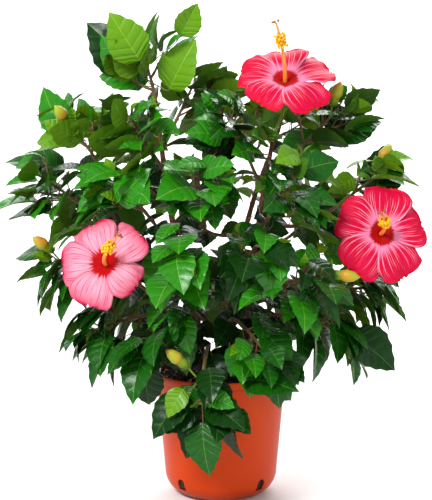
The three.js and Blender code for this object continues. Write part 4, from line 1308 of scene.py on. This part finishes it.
def petalFinish(name):
    look = petalLooks[name]
    surface, tree = material("petal_" + name + "_pink", 0.6)
    across, ahead, _ = node("SeparateXYZ", {0: node("TexCoord", {}, tree)["UV"]})
    fromMiddle = reckon("ABSOLUTE", minus(across, 0.5))

    def lengthways(crowding, wander):  # cloudy streaks that run from the eye to the rim
        return patchy(node("CombineXYZ", {0: times(across, crowding), 1: times(ahead, wander)})[0], 1.6)

    broad, fine, ribs = lengthways(9.0, 0.9), lengthways(23.0, 0.8), lengthways(30.0, 3.0)
    lines = times(between(fine, 0.6, 0.76), below(ahead, look["linesFrom"], look["linesTo"]))
    halo = below(minus(ahead, times(fine, 0.2)), 0.1, 0.3)
    rim = plus(ahead, plus(times(fromMiddle, 0.16), times(fine, 0.08)))
    margin = reckon("MULTIPLY", between(rim, look["rimFrom"], 1.1), plus(times(broad, 0.6), 0.6), clamp=True)
    star = plus(minus(ahead, times(fine, look["starReach"])), times(fromMiddle, 0.1))
    base = look["face"]
    for over, share in (("cloud", times(broad, 0.7)), ("line", times(lines, look["lineShare"])),
                        ("halo", times(halo, look["haloShare"])), ("margin", margin),
                        ("eye", below(star, 0.16, 0.21))):
        base = blend(share, base, look[over])
    return painted(surface, {"Base Color": base, "Specular IOR Level": 0.12, "Normal": bump(ribs, 0.5, 0.0007),
                             "Roughness": plus(times(ribs, 0.15), 0.42)})


def ballAt(place, radius, segments, rings):
    return smooth(added(bpy.ops.mesh.primitive_uv_sphere_add, "ball", segments=segments, ring_count=rings,
                        radius=radius * mm, location=Vector(place * mm)))


def buildCalyx(radii, rise, lobes, lobeRise):
    # a cup raised ring by ring from its foot, its lip drawn out into pointed lobes; +Z is forward
    sides = lobes * 4
    cup = added(bpy.ops.mesh.primitive_circle_add, "calyxTemplate", vertices=sides, radius=radii[0] * mm,
                fill_type="NGON")
    select(cup, "edges", lambda edge: True)
    bpy.ops.mesh.flip_normals()
    raiseRings([(radius, rise * i / (len(radii) - 1)) for i, radius in enumerate(radii)])
    for turn, lift in enumerate((1, 0.35, -0.25, 0.35)):  # lobe points, shoulders and the clefts between them
        select(cup, "verts", lambda vert: vert.co.z > rise * mm - 1e-5 and round(
            math.atan2(vert.co.y, vert.co.x) / (2 * math.pi) * sides) % 4 == turn)
        move(0, 0, lobeRise * lift * mm)
        stretch(1 + 0.12 * lift, 1 + 0.12 * lift)
    modified(cup, "SOLIDIFY", thickness=0.6 * mm, offset=-1)
    return smooth(modified(cup, "SUBSURF", levels=1, render_levels=1))


def spikes(origin, forward, ringRadius, length, spread, radius, random):  # the bracts below a calyx
    traces = []
    for i in range(7):
        spoke = spokeAround(forward, i * 360 / 7 + random(-12, 12))
        start = origin + spoke * ringRadius
        tip = start + swung(forward, spoke, spread) * length * random(0.8, 1.15)
        middle = (start + tip) / 2 + spoke * length * 0.16
        radii = np.array([1, 0.95, 0.7, 0.15]) * radius
        traces.append((along([start, middle, tip], [0, 0.35, 0.7, 1]), radii))
    return traces


petalTemplate = buildPetal()
petalPlaces = placesOf(petalTemplate)
petalFinishes = {name: petalFinish(name) for name in petalLooks}
columnFinish = plainFinish("column", (248, 150, 62), 0.45)
antherFinish = plainFinish("anther", (248, 188, 16), 0.85, 900.0)
stigmaFinish = plainFinish("stigma", (158, 84, 36), 0.7, 600.0)
calyxFinish = plainFinish("calyx", (112, 142, 14), 0.5)
calyxTemplate = buildCalyx(bloomLook["calyxRadii"], bloomLook["calyxRise"], bloomLook["calyxLobes"],
                           bloomLook["calyxLobeRise"])

for place, (name, row) in enumerate(bloomRows.items()):
    random = seededDraw(bloomLook["seed"] + place)
    kind = "pale" if name == "bloom_left" else "hot"
    slot, frill = petalLooks[kind]["slot"], petalLooks[kind]["frill"]
    eye, normal, _, _ = blossom = bloomFrame(row)
    petals = []
    for i in range(bloomLook["petals"]):
        turn = row["spin"] + i * 360 / bloomLook["petals"]
        angle = math.radians(turn + random(-1, 1) * bloomLook["petalTurn"])
        reach = row["radius"] * random(*bloomLook["petalReach"])
        bent = bendPetal(petalPlaces, blossom, angle, reach, frill, random)
        petals.append(copyOf(petalTemplate, "petal", bent))
    petalPiece = modified(join(petals, name + "_petals"), "SOLIDIFY", thickness=bloomLook["thickness"] * mm)
    faces = hand(smooth(petalPiece), slot, [name], petalFinishes[kind])

    shares = np.linspace(0, 1, 15)
    stalkRadii = bloomLook["stalkRadius"] + bloomLook["stalkFlare"] * shares ** 4
    stalk = tubes(name + "_stalk", [(along(stalkCurve(row), shares), stalkRadii)], 10)
    reach = point(row["tip"])
    course = [eye - normal * 6, eye + normal * np.linalg.norm(reach) * bloomLook["columnBend"], eye + reach]
    columnRadii = bloomLook["columnRadius"] - bloomLook["columnTaper"] * shares
    column = tubes(name + "_column", [(along(course, shares), columnRadii)], 12)
    threads, balls, pads = [], [], []
    first, last = bloomLook["antherShares"]
    for i in range(bloomLook["anthers"]):
        share = first + (last - first) * (i + random(0, 1)) / bloomLook["anthers"]
        foot, tangent = along(course, share), tangentAt(course, share)
        spoke = spokeAround(tangent, i * leafForm["goldenTurn"])
        end = foot + spoke * bloomLook["filament"] * random(0.75, 1.25) + tangent * 1.5
        threads.append((along([foot, end], [0, 1]), np.array([0.35, 0.3])))
        balls.append(ballAt(end, bloomLook["antherRadius"] * random(0.8, 1.2), 6, 4))
    tip, tangent = along(course, 1), tangentAt(course, 1)
    for i in range(bloomLook["pads"]):
        spoke = spokeAround(tangent, i * 360 / bloomLook["pads"] + bloomLook["padTurn"])
        end = tip + spoke * bloomLook["padSpread"] * 0.8 + tangent * bloomLook["padSpread"]
        threads.append((along([tip, tip + tangent * 4, end], [0, 0.5, 1]), np.array([0.9, 0.7, 0.6])))
        pads.append(ballAt(end, bloomLook["padRadius"], 10, 6))
    calyxAt = frameAlong(eye - normal * bloomLook["calyxBack"], normal, row["spin"] + bloomLook["calyxTurn"])
    bracts = spikes(eye - normal * bloomLook["bractsBack"], normal, bloomLook["bractRing"],
                    bloomLook["bractLength"], bloomLook["bractSpread"], bloomLook["bractRadius"], random)
    for piece, look in ((stalk, calyxFinish), (column, columnFinish),
                        (tubes(name + "_filaments", threads, 6), columnFinish),
                        (placed(calyxTemplate, name + "_calyx", calyxAt), calyxFinish),
                        (tubes(name + "_bracts", bracts, 6), calyxFinish),
                        (join(balls, name + "_anthers"), antherFinish),
                        (join(pads, name + "_stigma"), stigmaFinish)):
        hand(piece, slot, [name], look)
    print("blooms:", name, faces, "petal faces")
retire(petalTemplate, calyxTemplate)


# Buds

budLook = {
    "calyxRadii": (2.4, 5.8, 7.6, 8.0, 7.5, 6.5), "calyxRise": 22.0, "calyxLobes": 5, "calyxLobeRise": 7,
    "tipLength": 32.0, "tipRadius": 6.6, "pointRadius": 0.4, "tipFoot": 14.0, "sink": 2, "stalkRadius": 1.5,
    "stalkFlare": 0.9, "bractRing": 2.6, "bractLength": 15.0, "bractSpread": 0.7, "bractRadius": 0.6,
    "green": (152, 170, 20), "blush": (226, 116, 40), "seed": 4005,
}
budCup = buildCalyx(budLook["calyxRadii"], budLook["calyxRise"], budLook["calyxLobes"],
                    budLook["calyxLobeRise"])
budTraces, budBracts, budCups, budTips = [], [], [], []
budRandom = seededDraw(budLook["seed"])
shares = np.linspace(0, 1, 8)
for shootName, share, aim, length in budRows:
    course = budCurve(share, aim, length, shoots[shootName]["leader"])
    forward = tangentAt(course, 1)
    foot = along(course, 1) - forward * (budLook["tipFoot"] + budLook["tipLength"] - budLook["sink"])
    radii = budLook["stalkRadius"] + budLook["stalkFlare"] * shares ** 3
    budTraces.append((along([course[0], course[1], foot], shares), radii))
    budCups.append(placed(budCup, "bud", frameAlong(foot, forward, budRandom(0, 72))))
    budBracts += spikes(foot, forward, budLook["bractRing"], budLook["bractLength"],
                        budLook["bractSpread"], budLook["bractRadius"], budRandom)
    petalTip = added(bpy.ops.mesh.primitive_cone_add, "budTip", vertices=10, radius1=budLook["tipRadius"] * mm,
                     radius2=budLook["pointRadius"] * mm, depth=budLook["tipLength"] * mm)
    select(petalTip, "verts", lambda vert: True)
    bpy.ops.mesh.subdivide(number_cuts=2, smoothness=1)
    clearSelection()
    middle = foot + forward * (budLook["tipFoot"] + budLook["tipLength"] / 2)
    petalTip.matrix_world = frameAlong(middle, forward, budRandom(0, 72))
    budTips.append(smooth(settle(petalTip)))
retire(budCup)
budTipFinish, tree = material("bud_tip", 0.5)
blush = patchy(objectPlace(tree), 46.0)
painted(budTipFinish, {
    "Base Color": blend(reckon("POWER", blush, 2.0), budLook["green"], budLook["blush"]),
    "Normal": bump(blush, 0.4, 0.0006)})
for piece, look in ((tubes("bud_stalks", budTraces, 8), calyxFinish),
                    (tubes("bud_bracts", budBracts, 6), calyxFinish),
                    (join(budCups, "bud_calyxes"), calyxFinish), (join(budTips, "bud_tips"), budTipFinish)):
    hand(piece, "foliage", shoots, look)
print("buds:", len(budRows))


# Pot

# foot is a painted shade: the pot darkens where its foot turns under towards the floor
potLook = {
    "sides": 112, "cornerSteps": 10, "slotTop": 7.056, "slotFrom": 60.0, "slotTo": 130.0, "smooth": 32,
    "colour": (204, 60, 0), "dust": (186, 84, 40), "sheen": (128, 62, 44), "foot": (120, 34, 8),
    "roughness": 0.46, "grain": 60.0, "grit": 240.0, "gritSize": 0.12, "dustPatch": 7.0, "dustTop": 0.2,
    "footShadeTop": 0.03,
}


def potRadiusAt(height):
    return potSize["topRadius"] - (potSize["height"] - height) * math.tan(math.radians(potSize["draft"]))


def potOutline(inset):
    corner, steps = potSize["cornerRadius"], potLook["cornerSteps"]
    turns = [math.radians(90 * i / steps) for i in range(steps + 1)]
    return [(potRadiusAt(corner) - corner + (corner - inset) * math.sin(turn),
             corner - (corner - inset) * math.cos(turn)) for turn in turns]


def closeRing(height):  # draws the selected ring in to its middle
    extrude()
    stretch(0.02, 0.02, about=(0, 0, height * mm))
    bpy.ops.mesh.merge(type="CENTER")


def buildPot():
    height, top, lip, wall = (potSize[what] for what in ("height", "topRadius", "rimLip", "wall"))
    rimFoot = height - potSize["rimDepth"]
    outline = potOutline(0) + [
        (potRadiusAt(90), 90), (potRadiusAt(150), 150), (potRadiusAt(rimFoot), rimFoot),
        (potRadiusAt(rimFoot) + lip * 0.8, rimFoot + 0.4), (potRadiusAt(rimFoot) + lip, rimFoot + 1.4),
        (top + lip, height - 1.6), (top + lip - 0.5, height - 0.4), (top + lip - 1.6, height),
        (top - wall + 0.8, height), (top - wall, height - 0.8),
    ] + potOutline(wall)[::-1]
    radius, foot = outline[0]
    pot = added(bpy.ops.mesh.primitive_circle_add, "pot_shell", vertices=potLook["sides"], radius=radius * mm,
                location=(0, 0, foot * mm))
    select(pot, "edges", lambda edge: True)
    closeRing(foot)
    select(pot, "edges", lambda edge: edge.is_boundary)
    raiseRings(outline)
    closeRing(outline[-1][1])
    bpy.ops.mesh.select_all(action="SELECT")
    bpy.ops.mesh.normals_make_consistent(inside=False)
    slotLow, slotHigh = potSize["slotLow"] * mm, potSize["slotHigh"] * mm
    near, far = potLook["slotFrom"] * mm, potLook["slotTo"] * mm
    for i in range(potSize["slotCount"]):  # drain slots, arched at the top
        slot = added(bpy.ops.mesh.primitive_cube_add, "slotCutter", size=1)
        slot.location = ((near + far) / 2, 0, (slotLow + slotHigh) / 2)
        slot.scale = (far - near, potSize["slotWidth"] * mm, slotHigh - slotLow)
        settle(slot)
        select(slot, "edges", lambda edge: all(vert.co.z > slotHigh - mm for vert in edge.verts)
               and abs(edge.verts[0].co.x - edge.verts[1].co.x) > 0.05)
        bpy.ops.mesh.bevel(offset=potLook["slotTop"] * mm, segments=6)
        clearSelection()
        slot.rotation_euler = (0, 0, math.radians((i + 0.5) * 360 / potSize["slotCount"]))
        modified(pot, "BOOLEAN", operation="DIFFERENCE", object=settle(slot))
        retire(slot)
    return smooth(pot, potLook["smooth"])


def potFinish():
    surface, tree = material("pot_plastic", potLook["roughness"])
    place = objectPlace(tree)
    height = node("SeparateXYZ", {0: node("TexCoord", {}, tree)["Object"]})[2]
    fine, grit = patchy(place, potLook["grain"]), speckled(place, potLook["grit"], potLook["gritSize"])
    dusty = times(times(patchy(place, potLook["dustPatch"]), fine), between(height, 0.02, potLook["dustTop"]))
    body = blend(times(dusty, 0.6), potLook["colour"], potLook["dust"])
    # painted shade: darker towards the pot's foot
    body = blend(times(below(height, 0.0, potLook["footShadeTop"]), 0.5), body, potLook["foot"])
    # the grit specks are tinted with a painted mauve sheen
    return painted(surface, {
        "Base Color": blend(times(grit, 0.35), body, potLook["sheen"]), "Specular IOR Level": 0.16,
        "Roughness": plus(times(dusty, 0.3), 0.38), "Normal": bump(plus(fine, grit), 0.12, 0.0005)})


print("pot:", hand(buildPot(), "pot", ["pot"], potFinish()), "faces")


# Soil, its loose top, perlite and bark bits

soilLook = {
    "rings": 9, "sides": 72, "relief": 7.0, "reliefSize": 9.0, "lift": 1.0, "skirt": 3.0, "perlite": 130,
    "chips": 110, "edgeGap": 0.8, "margin": 4.0, "bitsLift": 3.2, "perliteSize": (1.1, 2.8),
    "chipSize": (2.0, 6.0), "chipShape": (1.3, 0.55, 0.32), "tilt": 0.6, "spread": (0.7, 1.3),
    "flatness": (0.6, 1.1), "perliteSeed": 4006, "chipSeed": 4007,
    "dark": (30, 20, 13), "pale": (66, 46, 32), "grit": (120, 96, 70), "grain": 160.0,
}


def soilFinish():
    surface, tree = material("dark_soil", 0.95)
    place = objectPlace(tree)
    crumbs, grit = patchy(place, soilLook["grain"]), speckled(place, soilLook["grain"] * 1.2, 0.3)
    ground = blend(crumbs, soilLook["dark"], soilLook["pale"])
    return painted(surface, {
        "Base Color": blend(times(grit, 0.6), ground, soilLook["grit"]),
        "Normal": bump(plus(crumbs, grit), 1.0, 0.003), "Roughness": plus(times(crumbs, 0.2), 0.8)})


def buildSoilTop():
    edge = potRadiusAt(soilTop) - potSize["wall"] - soilLook["edgeGap"]
    top = added(bpy.ops.mesh.primitive_circle_add, "soil_top", vertices=soilLook["sides"], radius=edge * mm,
                fill_type="NGON", location=(0, 0, (soilTop + soilLook["lift"]) * mm))
    select(top, "faces", lambda face: True)
    for _ in range(soilLook["rings"]):
        bpy.ops.mesh.inset(thickness=edge / (soilLook["rings"] + 1) * mm)
    bpy.ops.mesh.poke()
    bpy.ops.mesh.select_all(action="SELECT")
    bpy.ops.mesh.subdivide(number_cuts=1)
    roughen(top, soilLook["relief"], soilLook["reliefSize"], direction="Z", mid_level=0.25)
    select(top, "edges", lambda edge: edge.is_boundary)
    extrude(-soilLook["skirt"] * mm)
    return smooth(top)


def scatterOnSoil(shape, count, sizes, name, seed):
    random = seededDraw(seed)
    copies = []
    edge = potRadiusAt(soilTop) - potSize["wall"] - soilLook["margin"]
    for _ in range(count):
        radius, turn = edge * math.sqrt(random(0, 1)), random(0, 2 * math.pi)
        size = random(*sizes)
        spin = Matrix.Rotation(random(0, 6), 3, "Z")
        spin = np.array(spin @ Matrix.Rotation(random(-1, 1) * soilLook["tilt"], 3, "X"))
        stretched = np.array([random(*soilLook[what]) for what in ("spread", "spread", "flatness")])
        lift = soilTop + soilLook["bitsLift"] + random(-0.5, 1.6)
        centre = point((radius * math.cos(turn), radius * math.sin(turn), lift))
        copies.append(copyOf(grain, name, (shape * stretched * size) @ spin.T + centre))
    return join(copies, name)


darkSoil = soilFinish()
finish(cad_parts["soil"], darkSoil)
soilFaces = hand(buildSoilTop(), "soil", [], darkSoil)
grain = added(bpy.ops.mesh.primitive_ico_sphere_add, "grainTemplate", subdivisions=1, radius=1)
perlite = scatterOnSoil(placesOf(grain), soilLook["perlite"], soilLook["perliteSize"], "perlite",
                        soilLook["perliteSeed"])
hand(smooth(perlite), "soil", [], plainFinish("perlite", (226, 222, 210), 0.9, 700.0))
chips = scatterOnSoil(placesOf(grain) * soilLook["chipShape"], soilLook["chips"], soilLook["chipSize"],
                      "bark_bits", soilLook["chipSeed"])
hand(chips, "soil", [], plainFinish("bark_chip", (78, 50, 32), 0.85, 400.0))
retire(grain)
print("soil:", soilFaces, "faces on top")


# Floor, light and camera

stageLook = {
    "floor": (240, 240, 240), "size": 14, "sweepFrom": 5.9, "sweepRise": 6, "sweepRadius": 2.6, "world": 0.5,
    "lens": 89.35, "viewFrom": (-0.008, -2.0, 0.65), "viewAt": (-0.008, 0.0, 0.4),
    "lamps": {  # place, aim, size, energy
        "key": ((-1.3, -2.0, 2.3), (0, 0, 0.4), 0.9, 90.0), "fill": ((2.2, -1.6, 1.4), (0, 0, 0.4), 2.0, 16.0),
        "back": ((0.8, 1.9, 2.2), (0, 0, 0.5), 1.6, 34.0), "sweep": ((0, 3.6, 3.4), (0, 4.8, 0.3), 4.0, 260.0),
    },
}


def aimed(place, aim):
    return (Vector(aim) - Vector(place)).to_track_quat("-Z", "Y").to_euler()


floor = added(bpy.ops.mesh.primitive_plane_add, "floor", size=stageLook["size"], location=(0, -1, -0.0005))
select(floor, "edges", lambda edge: all(vert.co.y > stageLook["sweepFrom"] for vert in edge.verts))
extrude(stageLook["sweepRise"])  # the floor sweeps up behind the plant
select(floor, "edges", lambda edge: all(
    vert.co.y > stageLook["sweepFrom"] and vert.co.z < 0.1 for vert in edge.verts))
bpy.ops.mesh.bevel(offset=stageLook["sweepRadius"], segments=20)
smooth(floor)
floorFinish, _ = material("floor", 0.8)
painted(floorFinish, {"Base Color": stageLook["floor"]})
finish(floor, floorFinish)

world = bpy.data.worlds.new("studio")
world.use_nodes = True
feed(world.node_tree.nodes["Background"].inputs, {"Color": (255, 255, 255), "Strength": stageLook["world"]})
bpy.context.scene.world = world

for name, (place, aim, size, energy) in stageLook["lamps"].items():
    clearSelection()
    bpy.ops.object.light_add(type="AREA", location=place)
    lamp = bpy.context.active_object
    lamp.name = name
    lamp.data.size = size
    lamp.data.energy = energy
    lamp.rotation_euler = aimed(place, aim)

bpy.ops.object.camera_add(location=stageLook["viewFrom"])
camera = bpy.context.active_object
camera.rotation_euler = aimed(stageLook["viewFrom"], stageLook["viewAt"])
camera.data.lens = stageLook["lens"]
bpy.context.scene.camera = camera
bpy.context.scene.view_settings.view_transform = "Standard"
print("stage: floor, four lights and camera")
